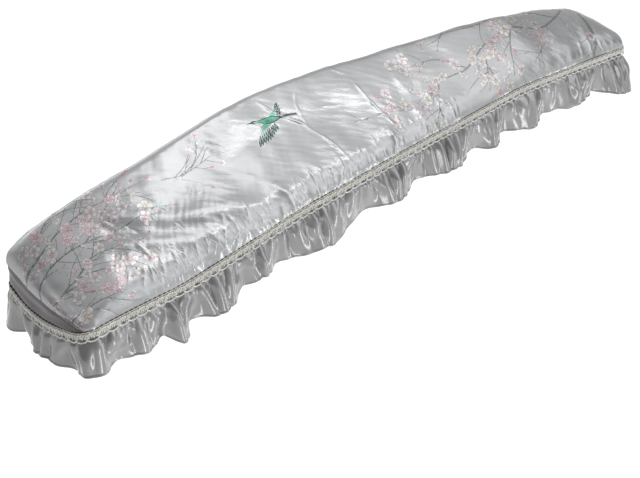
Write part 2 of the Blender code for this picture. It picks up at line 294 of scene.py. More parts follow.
class Outline:
    """The seam as a closed run of fine stations, and the wall and bend above each."""

    def __init__(self):
        """The crest line, where wall and top meet, is found in rounds, because it moves in as it rises."""
        self.points = outline_points()
        self.normals = outward(self.points)
        self.count = len(self.points)
        x, y = self.points.T
        steps = np.linalg.norm(np.roll(self.points, -1, axis=0) - self.points, axis=1)
        self.marks = np.concatenate([[0.0], np.cumsum(steps)])
        self.length = self.marks[-1]
        self.seam = seam_height(x, y)
        self.band = band_height(x, y)
        self.lean = blurred(mix(WALL_LEAN, BAND_LEAN, np.minimum(1.0, self.band / LEAN_CHANGE)), LEAN_BLUR)
        self.rise = np.full(self.count, FIRST_RISE)
        for _ in range(CREST_ROUNDS):
            self.crest = self.points - self.normals * (self.lean * self.rise)[:, None]
            self.rise = top_height(*self.crest.T) - self.seam
        self.crest_normals = outward(self.crest)
        self.wall = self.rise - self.band
        self.bend = blurred(np.minimum(BEND_RADIUS, BEND_SHARE * self.wall), BEND_BLUR)

    def corner(self, number):
        """Distance round the seam to the middle of a corner."""
        side, end = SIDE_STEPS + CORNER_STEPS, END_STEPS + CORNER_STEPS
        return self.marks[(0, side, side + end, 2 * side + end)[number]]

    def read(self, values, at):
        """Values of the stations at fractional station numbers."""
        low = np.floor(at).astype(int)
        t = at - low
        if values.ndim > 1:
            t = t[:, None]
        return mix(values[low % self.count], values[(low + 1) % self.count], t)

    def station(self, distance):
        """Fractional station number at a distance along the seam."""
        return np.interp(np.mod(distance, self.length), self.marks, np.arange(self.count + 1))

    def place(self, at, height, reach):
        """Points of the leaning wall at heights over the seam, moved outward by a reach."""
        spot, normal = self.read(self.points, at), unit(self.read(self.normals, at))
        move = reach - self.read(self.lean, at) * height
        return np.column_stack([spot + normal * move[:, None], self.read(self.seam, at) + height])


def tree_of(points):
    """A search tree over flat points."""
    tree = KDTree(len(points))
    for number, (x, y) in enumerate(points):
        tree.insert((x, y, 0.0), number)
    tree.balance()
    return tree


def nearest(tree, points):
    return np.array([tree.find((x, y, 0.0))[1] for x, y in points])


outline = Outline()
crest_tree = tree_of(outline.crest)


def crest_place(flat):
    """For points of the flat panel: nearest station of its crest line, and distance outside it."""
    station = nearest(crest_tree, flat)
    away, normal = flat - outline.crest[station], outline.crest_normals[station]
    run = np.linalg.norm(outline.crest[(station + 1) % outline.count] - outline.crest[station], axis=1)
    shift = (away * quarter_turn(normal)).sum(1) / run
    return station + np.clip(shift, -1, 1), (away * normal).sum(1)


def lift(flat, at, out):
    """Hangs flat points of the panel: plan points of the top, and outside the crest line the walls."""
    def topped(plan):
        return np.column_stack([plan, top_height(*plan.T)])

    bend, rise = outline.read(outline.bend, at), outline.read(outline.rise, at)
    crest, normal = outline.read(outline.crest, at), outline.read(outline.crest_normals, at)
    wall, foot, corner = [outline.place(at, rise - drop, 0.0) for drop in (np.maximum(out, 0.0), bend, 0.0)]
    rim = topped(crest - normal * bend[:, None])
    t = np.clip((bend - out) / (2 * bend), 0.0, 1.0)[:, None]
    bent = (1 - t) ** 2 * foot + 2 * t * (1 - t) * corner + t**2 * rim
    return np.where((out < -bend)[:, None], topped(flat), np.where((out > bend)[:, None], wall, bent))


def tone(red, green, blue):
    """A screen colour from 0 to 255 as linear light."""
    parts = [part / 255 for part in (red, green, blue)]
    return tuple(part / 12.92 if part <= 0.04045 else ((part + 0.055) / 1.055) ** 2.4 for part in parts)


# Print on the flat panel
PETAL_EDGES = (tone(172, 128, 140), tone(160, 104, 122), tone(146, 132, 138), tone(138, 128, 138))
PETAL_INSIDES = (
    (tone(200, 150, 160), tone(244, 242, 241)),
    (tone(208, 172, 174), tone(242, 240, 238)),
    (tone(204, 190, 158), tone(240, 239, 234)),
    (tone(190, 96, 122), tone(232, 202, 210)),
    (tone(186, 158, 176), tone(234, 228, 234)),
)
CENTRES = (tone(196, 182, 110), tone(168, 158, 84), tone(206, 184, 140))
STAMEN = tone(120, 82, 80)
BUD = tone(178, 62, 92)
BUD_LIGHT = tone(214, 120, 138)
BRANCH = tone(102, 108, 103)
TWIG = tone(68, 73, 71)
PALE_TWIG = tone(138, 158, 150)
LEAF = tone(136, 168, 156)
BIRD_BODY = tone(42, 148, 118)
BIRD_PALE = tone(150, 206, 186)
BIRD_DARK = tone(28, 34, 40)
BIRD_COVER = 0.99
BIRD_INSIDE = 0.28
# Each wing: front and back of its root, wrist, tips of three feathers, count and half width of its feathers.
BIRD_WINGS = (
    ((0.02, 0.08), (0.17, 0.04), (0.22, 0.22), ((0.31, 0.08), (0.37, 0.16), (0.37, 0.35)), 6, 0.030),
    ((-0.15, -0.02), (0.06, -0.05), (-0.36, -0.26), ((0.08, -0.25), (-0.2, -0.45), (-0.5, -0.54)), 9, 0.032),
)
BIRD_TAIL = ((0.16, 0.040), (0.42, 0.050), (0.64, 0.025), (0.66, -0.020), (0.44, 0.000), (0.16, -0.020))
BIRD_SHAPE = (
    (0.28, 0.01), (0.14, 0.075), (-0.04, 0.085), (-0.20, 0.050), (-0.32, 0.055), (-0.40, 0.050),
    (-0.44, 0.020), (-0.38, -0.010), (-0.26, -0.005), (-0.14, -0.055), (0.04, -0.070), (0.18, -0.035),
)
BIRD_BEAK = ((-0.42, 0.040), (-0.56, 0.012), (-0.42, 0.008))
BIRD_MASK = ((-0.34, 0.056), (-0.43, 0.046), (-0.42, 0.028), (-0.33, 0.034))

# Branches: points on the flat panel, then their width at the start and at the end.
HEAD_BRANCHES = (
    (((1.66, 0.02), (1.56, -0.03), (1.46, -0.075), (1.37, -0.095), (1.28, -0.072), (1.18, -0.078),
      (1.09, -0.100), (1.00, -0.092), (0.92, -0.118), (0.84, -0.092), (0.75, -0.072)), 0.0065, 0.0012),
    (((1.46, -0.075), (1.38, -0.042), (1.29, -0.030), (1.18, -0.020), (1.08, 0.012), (1.00, 0.020)),
     0.0055, 0.0014),
    (((1.18, -0.078), (1.140, -0.120), (1.105, -0.165)), 0.0042, 0.0013),
    (((1.28, -0.072), (1.230, -0.118), (1.195, -0.165)), 0.0042, 0.0013),
    (((1.00, -0.092), (0.950, -0.140), (0.905, -0.182)), 0.0038, 0.0012),
    (((1.46, -0.010), (1.52, -0.012), (1.56, -0.060), (1.540, -0.130), (1.500, -0.205)), 0.0070, 0.0110),
    (((1.29, -0.030), (1.220, 0.040), (1.130, 0.080)), 0.0040, 0.0012),
    (((1.09, -0.100), (1.040, -0.048), (0.960, -0.030)), 0.0036, 0.0012),
    (((1.37, -0.095), (1.330, -0.135), (1.275, -0.160)), 0.0034, 0.0012),
    (((1.60, 0.020), (1.50, 0.060), (1.40, 0.075)), 0.0050, 0.0016),
)
TAIL_BRANCHES = (
    (((-0.06, 0.040), (0.02, 0.036), (0.09, 0.052), (0.17, 0.058), (0.26, 0.030)), 0.0046, 0.0013),
    (((-0.05, -0.020), (0.03, 0.004), (0.11, 0.000), (0.19, -0.014), (0.28, -0.012)), 0.0042, 0.0013),
    (((-0.04, -0.060), (0.05, -0.052), (0.12, -0.074), (0.20, -0.092)), 0.0038, 0.0012),
    (((-0.02, -0.105), (0.04, -0.112), (0.11, -0.128)), 0.0040, 0.0012),
    (((0.02, 0.036), (0.08, 0.086), (0.17, 0.104), (0.27, 0.110)), 0.0040, 0.0012),
    (((0.11, 0.000), (0.16, 0.026), (0.24, 0.072)), 0.0034, 0.0012),
    (((0.05, -0.052), (0.10, -0.034), (0.16, -0.046)), 0.0030, 0.0012),
    (((0.31, 0.030), (0.36, 0.016), (0.43, 0.022)), 0.0024, 0.0010),
)
PRINT_SEED, PUCKER_SEED, SWELL_SEED, DETAIL_SEED = 5, 23, 8, 31
ROUGHNESS = 0.25
TWIG_WIDTHS = (0.0019, 0.0009)
TWIG_LENGTHS = (0.026, 0.085)
TWIG_TURNS = (0.35, 0.95)
BUD_SIZES = (0.0028, 0.0050)
SIDE_SIZES = (0.009, 0.013)
LEAF_LENGTHS = (0.014, 0.030)
BUD_CHANCE, SIDE_CHANCE, LEAF_CHANCE = 0.40, 0.16, 0.24
CLUSTER_STEP = 0.080
CLUSTER_COUNTS = (3, 7, 10)
CLUSTER_SPREAD = 0.015
CLUSTER_DRIFT = 0.008
BLOSSOM_SIZES = (0.0095, 0.0200)
BLOSSOM_SPACE = 0.58
PETAL_WIDTHS, PETAL_NOTCHES, PETAL_LEANS = (0.38, 0.47), (0.02, 0.09), (-0.10, 0.10)
STAMEN_ROOT = (0.06, 0.05)
# The squash of a shape that isn't squashed: how much is left of it, and which way.
WHOLE = (1, 0)


class Print:
    """Coloured shapes on the flat panel, in the order in which they are laid."""

    def __init__(self, seed):
        self.rng = random.Random(seed)
        self.shapes = []
        self.blossoms = []

    def add(self, points, near, far=None, centre=(0.0, 0.0), reach=1.0, cover=0.9):
        """A shape whose colour runs from near, at its centre, to far."""
        self.shapes.append((np.array(points), near, far or near, centre, reach, cover))

    def oval(self, centre, wide, tall, turn, color, sides):
        turns = [2 * math.pi * k / sides for k in range(sides)]
        points = [(wide * math.cos(t), tall * math.sin(t)) for t in turns]
        self.add([turned(point, turn, WHOLE, centre) for point in points], color)

    def stroke(self, points, start, end, color, cover=0.85, steps=5):
        """A tapering branch with rough edges, through the points."""
        line = rounded(np.array(points), steps)
        side = quarter_turn(unit(np.gradient(line, axis=0)))
        widths = np.linspace(start, end, len(line)) / 2
        left, right = [widths * np.array([1 + self.rng.uniform(-ROUGHNESS, ROUGHNESS) for _ in line])
                       for _ in range(2)]
        edge = np.concatenate([line + side * left[:, None], (line - side * right[:, None])[::-1]])
        self.add(edge, color, cover=cover)
        return line

    def petal(self, centre, turn, size, squash, edge, pale):
        """An outlined round petal with a soft notch at the tip, then its paler inside."""
        wide, notch, lean = [self.rng.uniform(*span) for span in (PETAL_WIDTHS, PETAL_NOTCHES, PETAL_LEANS)]

        def outlined(scale, sides):
            points = []
            for k in range(sides):
                t = 2 * math.pi * (k + 0.5) / sides
                dent = notch * math.exp(-(min(t, 2 * math.pi - t) / 0.35) ** 2)
                ahead = 0.56 + scale * (0.43 * math.cos(t) - dent)
                across = scale * wide * math.sin(t) * (1 + 0.30 * math.cos(t)) + lean * (ahead - 0.5)
                points.append(turned((ahead * size, across * size), turn, squash, centre))
            return points

        self.add(outlined(1.0, 8), edge, cover=0.66)
        self.add(outlined(0.82, 7), *pale, centre, size * 0.85, 0.84)

    def blossom(self, centre, size):
        """Five petals, seen more or less from the side, then stamens and a centre."""
        rng = self.rng
        turn = rng.uniform(0, 2 * math.pi)
        squash = (rng.uniform(0.50, 1.0), rng.uniform(0, math.pi))
        edge, pale = rng.choice(PETAL_EDGES), rng.choice(PETAL_INSIDES)
        order = list(range(5))
        rng.shuffle(order)
        for k in order:
            self.petal(centre, turn + 2 * math.pi * k / 5, size * rng.uniform(0.84, 1.10), squash, edge, pale)
        for k in range(5):
            ray = turn + 2 * math.pi * (k + rng.uniform(-0.3, 0.3)) / 5
            x, y = STAMEN_ROOT
            thread = size * np.array(((x, y), (x, -y), (rng.uniform(0.40, 0.74), 0)))
            self.add([turned(point, ray, squash, centre) for point in thread], STAMEN, cover=0.6)
        self.oval(centre, size * 0.15, size * 0.15, 0, rng.choice(CENTRES), 6)

    def side_blossom(self, centre, turn, size):
        """A half-open blossom seen from the side, on its dark cup."""
        rng = self.rng
        edge, pale = rng.choice(PETAL_EDGES), rng.choice(PETAL_INSIDES)
        for lean in (-0.75, 0.75, 0.0):
            self.petal(centre, turn + lean, size * rng.uniform(0.85, 1.0), WHOLE, edge, pale)
        self.bud(turned((size * 0.10, 0), turn, WHOLE, centre), turn, size * 0.20)

    def bud(self, centre, turn, size):
        for scale, color in ((1.0, self.rng.choice((BUD, BUD, BUD_LIGHT))), (0.55, BUD_LIGHT)):
            self.oval(centre, size * scale, 0.62 * size * scale, turn, color, 7)

    def leaf(self, start, turn, length):
        """A pointed leaf."""
        points = []
        for k in range(8):
            share = min(k, 8 - k) / 4
            across = 0.16 * length * math.sin(math.pi * share) * (1 if k <= 4 else -1)
            points.append(turned((length * share, across), turn, WHOLE, start))
        self.add(points, LEAF, cover=0.55)

    def spray(self, branches, twigs, color):
        """Branches, then side twigs on them, as many as a share of the branches' points."""
        rng = self.rng
        lines = [self.stroke(points, start, end, color) for points, start, end in branches]
        for line in list(lines):
            for _ in range(max(1, round(len(line) * twigs))):
                k = rng.randrange(2, len(line) - 1)
                step = line[k] - line[k - 1]
                turn = math.atan2(step[1], step[0]) + rng.choice((-1, 1)) * rng.uniform(*TWIG_TURNS)
                length = rng.uniform(*TWIG_LENGTHS)
                bend = turn + rng.uniform(-0.4, 0.4)
                middle = line[k] + 0.5 * length * heading(turn)
                tip = middle + 0.5 * length * heading(bend)
                twig = rng.choice((TWIG, TWIG, PALE_TWIG))
                lines.append(self.stroke([line[k], middle, tip], *TWIG_WIDTHS, twig, 0.8, 3))
                self.end_twig(tip, bend)
        return lines

    def end_twig(self, tip, turn):
        """A bud, a half-open blossom, a leaf or nothing, by chance."""
        rng = self.rng
        chance = rng.random()
        if chance < BUD_CHANCE:
            self.bud(tip, turn, rng.uniform(*BUD_SIZES))
        elif chance < BUD_CHANCE + SIDE_CHANCE:
            self.side_blossom(tip, turn, rng.uniform(*SIDE_SIZES))
        elif chance < BUD_CHANCE + SIDE_CHANCE + LEAF_CHANCE:
            self.leaf(tip, turn + rng.uniform(-0.5, 0.5), rng.uniform(*LEAF_LENGTHS))

    def free(self, spot, size):
        return all(math.dist(other, spot) >= BLOSSOM_SPACE * (size + wide) for other, wide in self.blossoms)

    def near(self, spot, spread):
        return spot + np.array([self.rng.gauss(0, spread), self.rng.gauss(0, spread)])

    def flower(self, lines, low, high, share):
        """Finds places for clusters of blossoms along the branches, between two stations of the panel."""
        rng = self.rng
        for line in lines:
            run = np.linalg.norm(np.diff(line, axis=0), axis=1).sum()
            for _ in range(max(1, round(share * run / CLUSTER_STEP))):
                middle = self.near(line[rng.randrange(0, len(line))], CLUSTER_DRIFT)
                for _ in range(rng.choice(CLUSTER_COUNTS)):
                    spot = self.near(middle, CLUSTER_SPREAD)
                    size = rng.uniform(*BLOSSOM_SIZES)
                    if low <= spot[0] <= high and self.free(spot, size):
                        self.blossoms.append((tuple(spot), size))


def rounded(points, steps):
    """A smooth line through the points."""
    ends = np.concatenate([[2 * points[0] - points[1]], points, [2 * points[-1] - points[-2]]])
    line = []
    for a, b, c, d in zip(ends, ends[1:], ends[2:], ends[3:]):
        for t in np.arange(steps) / steps:
            line.append(0.5 * (2 * b + (c - a) * t + (2 * a - 5 * b + 4 * c - d) * t**2
                               + (3 * b - a - 3 * c + d) * t**3))
    line.append(points[-1])
    return np.array(line)


def turned(point, turn, squash, centre):
    """A point turned about nought, squashed by an amount along one way and moved."""
    def rotated(x, y, angle):
        cos, sin = math.cos(angle), math.sin(angle)
        return x * cos - y * sin, x * sin + y * cos

    amount, way = squash
    u, v = rotated(*rotated(*point, turn), -way)
    x, y = rotated(u * amount, v, way)
    return (x + centre[0], y + centre[1])


def add_bird(cloth, spot, turn, span):
    """A small flying bird: two feathered wings, a long dark tail and a slim body."""
    def at(point):
        x, y = point
        return turned((x * span, y * span), turn, WHOLE, spot)

    def lay(points, color, far=None, centre=(0.0, 0.0), reach=1.0):
        cloth.add([at(point) for point in points], color, far, at(centre), span * reach, BIRD_COVER)

    def wing(front, back, wrist, tips, count, width):
        """Dark feathers with pale middles, from the arm of the wing to its trailing edge and tip."""
        front, back, wrist, *tips = [np.array(point) for point in (front, back, wrist, *tips)]
        for k in range(count):
            u = k / (count - 1)
            start = mix(back, wrist, u)
            end = mix(tips[0], tips[1], 2 * u) if u < 0.5 else mix(tips[1], tips[2], 2 * u - 1)
            way = math.atan2(end[1] - start[1], end[0] - start[0])
            for color, marks, half in ((BIRD_DARK, (0.0, 0.66, 1.0), width),
                                       (BIRD_PALE, (0.25, 0.50, 0.86), BIRD_INSIDE * width)):
                side = half * np.array([-math.sin(way), math.cos(way)])
                root, middle, tip = [mix(start, end, mark) for mark in marks]
                lay((root, middle + side, tip, middle - side), color)
        arm = (front, mix(front, wrist, 0.6), wrist, mix(back, wrist, 0.5), back)
        lay(arm, BIRD_BODY, BIRD_PALE, front, 0.34)

    for arm_and_tips in BIRD_WINGS:
        wing(*arm_and_tips)
    lay(BIRD_TAIL, BIRD_DARK)
    lay(BIRD_SHAPE, BIRD_DARK)
    inside = [(mix(-0.06, x, 0.86), mix(0.015, y, 0.76)) for x, y in BIRD_SHAPE]
    lay(inside, BIRD_BODY, BIRD_PALE, (-0.02, 0.02), 0.50)
    lay(BIRD_BEAK, BIRD_DARK)
    lay(BIRD_MASK, BIRD_DARK)


def lay_print():
    """The two sprays, their blossoms and one more on the head end, then the bird."""
    cloth = Print(PRINT_SEED)
    lines = cloth.spray(HEAD_BRANCHES, 0.42, BRANCH)
    cloth.flower(lines[:len(HEAD_BRANCHES)], low=0.74, high=1.40, share=1.35)
    cloth.blossoms.append(((1.519, -0.150), 0.0175))
    lines = cloth.spray(TAIL_BRANCHES, 0.85, TWIG)
    cloth.flower(lines[:len(TAIL_BRANCHES) - 1], low=-0.02, high=0.25, share=1.25)
    for centre, size in cloth.blossoms:
        cloth.blossom(centre, size)
    add_bird(cloth, spot=(0.592, 0.022), turn=math.radians(-14), span=0.100)
    return cloth.shapes


# Folds of the panel
# Painted highlight along creases and puckers: its near-white colour and its cover.
CREASE_PAINTED_HIGHLIGHT = tone(246, 247, 248)
CREASE_HIGHLIGHT_COVER = 0.70
# Painted shade along the panel's edge over the lace, which also dims the satin's reflection there: colour,
# cover and span.
SEAM_PAINTED_SHADE = tone(122, 118, 116)
PAINTED_SHADE_COVER = 0.62
PAINTED_SHADE_SPAN = 0.0050
# How far inside the crest line a point still counts as wall. Further in, it is far above the seam.
WALL_ZONE = 0.05
FAR_ABOVE = 1.0
# Over the seam, the panel's creases fade in from one height over a span.
FADE_START, FADE_SPAN = 0.003, 0.020
LINE_STEP = 0.008
CRISP_STEP = 0.0036
NARROW = 0.0055
# Crushed cloth: height over the seam and spread there, in front and behind, then its run along the front.
CRUSH_HEIGHT = 0.035
FRONT_CRUSH_SPREAD, BACK_CRUSH_SPREAD = 0.042, 0.050
CRUSH_START, CRUSH_END, CRUSH_BLUR, CRUSH_LOSS = 0.10, 0.94, 0.10, 0.8
BACK_CRUSH = 0.5
# Patches in the glare: strength or height, middle and spread.
GLARE_CRUSH = (0.45, (0.26, -0.04), (0.15, 0.07))
GLARE_TEETH = (0.00018, (0.27, -0.070), (0.15, 0.060))
# Spans for the puckers, drawn at random. Heights, sizes and steps are shares of those in PUCKERS.
PUCKER_HEIGHTS, PUCKER_TALLS = (0.35, 0.5, 0.7, 1.0, 1.5), (0.8, 1.2)
PUCKER_WIDTHS, PUCKER_SIZES = (0.0030, 0.0055), (0.4, 1.3)
PUCKER_LEANS, PUCKER_BENDS, PUCKER_STEPS = (-0.55, 0.55), (-4.0, 4.0), (0.45, 1.8)
# Height over the seam where a pucker starts to lean.
PUCKER_FOOT = 0.012
# Depth of a pucker and height of a crease from which their painted highlight is as strong as it gets.
PUCKER_HIGHLIGHT_DEPTH, CREASE_HIGHLIGHT_HEIGHT = 0.0025, 0.0018
# Rows of points beside a narrow crease, as shares of its half width.
CREASE_ROWS = (-1.30, -0.55, 0.0, 0.55, 1.30)
# Creases on the flat panel: height, half width, points. A negative height is a trough.
CREASES = (
    (0.0020, 0.0034, ((0.593, 0.085), (0.613, 0.032), (0.645, -0.013), (0.655, -0.045), (0.668, -0.090),
                      (0.672, -0.170))),
    (0.0013, 0.0030, ((0.703, 0.057), (0.672, 0.030), (0.662, 0.004), (0.652, -0.035))),
    (0.0010, 0.0030, ((0.800, 0.060), (0.807, 0.048), (0.822, 0.028))),
    (0.0019, 0.0032, ((0.825, 0.020), (0.822, -0.020), (0.820, -0.060), (0.824, -0.100), (0.827, -0.138))),
    (0.0009, 0.0030, ((0.712, -0.006), (0.746, -0.022))),
    (0.0018, 0.0036, ((0.806, -0.116), (0.790, -0.180))),
    (0.0016, 0.0032, ((0.823, -0.138), (0.806, -0.180))),
    (0.0014, 0.0034, ((0.848, -0.106), (0.830, -0.138))),
    (0.0018, 0.0036, ((0.868, -0.120), (0.864, -0.176))),
    (0.0016, 0.0036, ((0.886, -0.138), (0.888, -0.182))),
    (0.0018, 0.0042, ((1.004, -0.122), (0.984, -0.182))),
    (0.0022, 0.0045, ((0.150, 0.045), (0.165, 0.010), (0.174, -0.024), (0.184, -0.070), (0.186, -0.120))),
    (-0.0020, 0.0090, ((0.185, 0.030), (0.194, -0.020), (0.206, -0.080))),
    (0.0016, 0.0050, ((-0.004, -0.020), (0.010, -0.060), (0.012, -0.100), (0.004, -0.160))),
    (-0.0018, 0.0070, ((0.004, -0.010), (0.024, -0.060), (0.026, -0.110), (0.020, -0.150))),
    (0.0030, 0.0090, ((1.560, -0.060), (1.532, -0.096), (1.508, -0.130), (1.486, -0.170))),
    (-0.0030, 0.0110, ((1.520, -0.040), (1.500, -0.090), (1.474, -0.150))),
    (0.0022, 0.0048, ((1.466, -0.140), (1.450, -0.205))),
    (0.0020, 0.0044, ((1.498, -0.150), (1.492, -0.212))),
    (0.0020, 0.0044, ((1.532, -0.160), (1.542, -0.218))),
    (0.0016, 0.0042, ((0.362, -0.086), (0.340, -0.130), (0.316, -0.180))),
    (0.0016, 0.0042, ((0.360, -0.096), (0.364, -0.140), (0.352, -0.184))),
    (0.0010, 0.0070, ((0.430, -0.020), (0.470, -0.070), (0.500, -0.140))),
    (0.0008, 0.0060, ((0.930, 0.010), (0.915, -0.050), (0.925, -0.110))),
    (0.0010, 0.0080, ((1.230, 0.020), (1.260, -0.050), (1.250, -0.130))),
    (0.0012, 0.0070, ((1.400, -0.020), (1.390, -0.080), (1.410, -0.150))),
    (0.0020, 0.0070, ((0.580, 0.170), (0.605, 0.130), (0.590, 0.085))),
    (0.0020, 0.0070, ((0.840, 0.200), (0.825, 0.130), (0.800, 0.060))),
    (0.0020, 0.0070, ((1.100, 0.200), (1.110, 0.130), (1.085, 0.050))),
    (0.0020, 0.0070, ((1.380, 0.210), (1.360, 0.130), (1.370, 0.040))),
    (0.0020, 0.0070, ((0.300, 0.190), (0.290, 0.150), (0.270, 0.110))),
    (0.0018, 0.0034, ((0.438, -0.130), (0.437, -0.150), (0.432, -0.186))),
    (0.0017, 0.0034, ((0.410, -0.100), (0.400, -0.128), (0.388, -0.155))),
    (0.0017, 0.0036, ((0.498, -0.122), (0.506, -0.145), (0.518, -0.184))),
    (0.0018, 0.0036, ((0.528, -0.126), (0.532, -0.150), (0.538, -0.182))),
    (0.0020, 0.0036, ((0.576, -0.098), (0.572, -0.135), (0.566, -0.180))),
    (0.0018, 0.0034, ((0.600, -0.112), (0.594, -0.142), (0.588, -0.175))),
    (0.0017, 0.0034, ((0.624, -0.118), (0.617, -0.150), (0.612, -0.178))),
    (0.0017, 0.0034, ((0.654, -0.106), (0.648, -0.135), (0.642, -0.170))),
    (0.0015, 0.0036, ((0.713, -0.112), (0.700, -0.140), (0.688, -0.170))),
    (0.0015, 0.0034, ((0.760, -0.110), (0.748, -0.140), (0.736, -0.170))),
    (0.0013, 0.0034, ((0.136, -0.096), (0.126, -0.110), (0.114, -0.124))),
    (0.0018, 0.0038, ((0.166, -0.100), (0.152, -0.124), (0.136, -0.148))),
    (0.0015, 0.0036, ((0.176, -0.104), (0.168, -0.124), (0.160, -0.148))),
    (0.0014, 0.0036, ((0.200, -0.100), (0.192, -0.128), (0.184, -0.152))),
    (0.0015, 0.0036, ((0.226, -0.104), (0.222, -0.130), (0.214, -0.155))),
    (0.0014, 0.0036, ((0.249, -0.112), (0.241, -0.134), (0.232, -0.155))),
    (0.0015, 0.0036, ((0.273, -0.118), (0.268, -0.140), (0.262, -0.160))),
    (0.0015, 0.0036, ((0.297, -0.118), (0.291, -0.140), (0.285, -0.162))),
)
# Bands of steeper cloth through the glare: height, half width, points.
TERRACES = (
    (0.00240, 0.0175, ((0.150, 0.020), (0.204, -0.018), (0.273, -0.068), (0.353, -0.104), (0.440, -0.134))),
    (0.00160, 0.0150, ((0.120, -0.038), (0.156, -0.058), (0.213, -0.090), (0.290, -0.136))),
)
# Swells of the taut cloth: wavelength, height, count. Then fine ripples: way across, wavelength, height.
SWELLS = ((0.170, 0.00050, 5), (0.090, 0.00022, 6), (0.045, 0.00007, 7))
RIPPLES = ((0.86, 0.0135, 0.00010), (0.93, 0.0190, 0.00013), (-0.62, 0.0150, 0.00005))
# Sines along which the ripples bend.
RIPPLE_BENDS = ((0.004, 31, 0), (0.003, 67, 1))
# Puckers over the lace: from and to round the seam, pitch, height up the wall, depth.
PUCKERS = (
    (0.02, 0.30, 0.030, 0.030, 0.0010),
    (0.30, 0.76, 0.018, 0.078, 0.0026),
    (0.76, 0.98, 0.020, 0.066, 0.0023),
    (0.98, 1.24, 0.034, 0.030, 0.0006),
    (1.24, 1.62, 0.024, 0.050, 0.0013),
    (1.62, 1.99, 0.028, 0.040, 0.0009),
    (1.99, 3.60, 0.026, 0.046, 0.0014),
    (3.60, 3.96, 0.040, 0.020, 0.0003),
)


def ridge(off, width):
    """A soft-topped narrow ridge."""
    return np.exp(0.35 - np.sqrt((off / width) ** 2 + 0.1225))


def wrapped(off):
    return (off + outline.length / 2) % outline.length - outline.length / 2


def crease_line(points, step):
    """Points at even steps along a crease, and its directions there."""
    line = rounded(np.array(points), 12)
    marks = np.concatenate([[0.0], np.cumsum(np.linalg.norm(np.diff(line, axis=0), axis=1))])
    at = np.linspace(0.0, marks[-1], max(4, round(marks[-1] / step)))
    line = np.column_stack([np.interp(at, marks, line[:, axis]) for axis in (0, 1)])
    return line, unit(np.gradient(line, axis=0))


def close_by(spots, line, margin):
    """Numbers of the spots in a line's box, widened by a margin."""
    inside = (spots > line.min(axis=0) - margin) & (spots < line.max(axis=0) + margin)
    return np.flatnonzero(inside.all(axis=1))


def line_place(spots, line):
    """For flat spots: distance to a line, which side of it they are on, and how far along it."""
    best, side, share = np.full(len(spots), np.inf), np.zeros(len(spots)), np.zeros(len(spots))
    for k, (start, step) in enumerate(zip(line, np.diff(line, axis=0))):
        away = spots - start
        t = np.clip((away @ step) / (step @ step), 0, 1)
        apart = np.linalg.norm(away - t[:, None] * step, axis=1)
        closer = apart < best
        best = np.where(closer, apart, best)
        side = np.where(closer, np.sign(step[0] * away[:, 1] - step[1] * away[:, 0]), side)
        share = np.where(closer, (k + t) / (len(line) - 1), share)
    return best, side, share


def crease_spots(spots):
    """Clears the points beside each narrow crease and lays rows along it instead, so that it stays crisp."""
    for _, width, points in CREASES:
        if width > NARROW:
            continue
        line, way = crease_line(points, CRISP_STEP)
        near = close_by(spots, line, 0.01)
        away = np.linalg.norm(spots[near][:, None, :] - line[None, :, :], axis=2).min(axis=1)
        spots = np.delete(spots, near[away < 1.35 * width + 0.0012], axis=0)
        spots = np.concatenate([spots] + [line + quarter_turn(way) * off * width for off in CREASE_ROWS])
    return spots


def crease_field(flat):
    """Height that the creases add over the flat panel, and the painted highlight along their ridges."""
    total, pale = np.zeros(len(flat)), np.zeros(len(flat))
    for height, width, points in CREASES:
        line, _ = crease_line(points, LINE_STEP)
        near = close_by(flat, line, 0.05)
        off, _, share = line_place(flat[near], line)
        taper = smooth(share / 0.25) * smooth((1 - share) / 0.25)
        taper = taper * (0.72 + 0.28 * np.sin(share * 23 + 40 * width * len(line)))
        total[near] += height * taper * (ridge(off, 0.8 * width) - 0.35 * bell(off, 2.6 * width))
        # Painted highlight along the crease's ridge.
        if height > 0 and width < NARROW:
            bent = min(1.0, height / CREASE_HIGHLIGHT_HEIGHT) * taper * bell(off, 0.55 * width)
            pale[near] = np.maximum(pale[near], bent)
    return total, pale


def terrace_field(flat):
    """Height of the bands where the cloth falls more steeply."""
    total = np.zeros(len(flat))
    for height, width, points in TERRACES:
        apart, side, share = line_place(flat, crease_line(points, LINE_STEP)[0])
        taper = smooth(share / 0.12) * smooth((1 - share) / 0.20)
        off = side * apart / width
        total += height * taper * off * np.exp(0.5 - off**2 / 2)
    return total


def crush_field(flat, height):
    """How crushed the cloth is: most along the lace in front, a little in the glare."""
    x, y = flat.T
    run = smooth((x - CRUSH_START) / CRUSH_BLUR) * (1 - CRUSH_LOSS * smooth((x - CRUSH_END) / CRUSH_BLUR))
    front = bell(height - CRUSH_HEIGHT, FRONT_CRUSH_SPREAD) * run * (y < 0)
    back = BACK_CRUSH * bell(height - CRUSH_HEIGHT, BACK_CRUSH_SPREAD) * (y > 0)
    glare, middle, spread = GLARE_CRUSH
    return np.clip(front + back + patch(glare, flat, middle, spread), 0.0, 1.0)


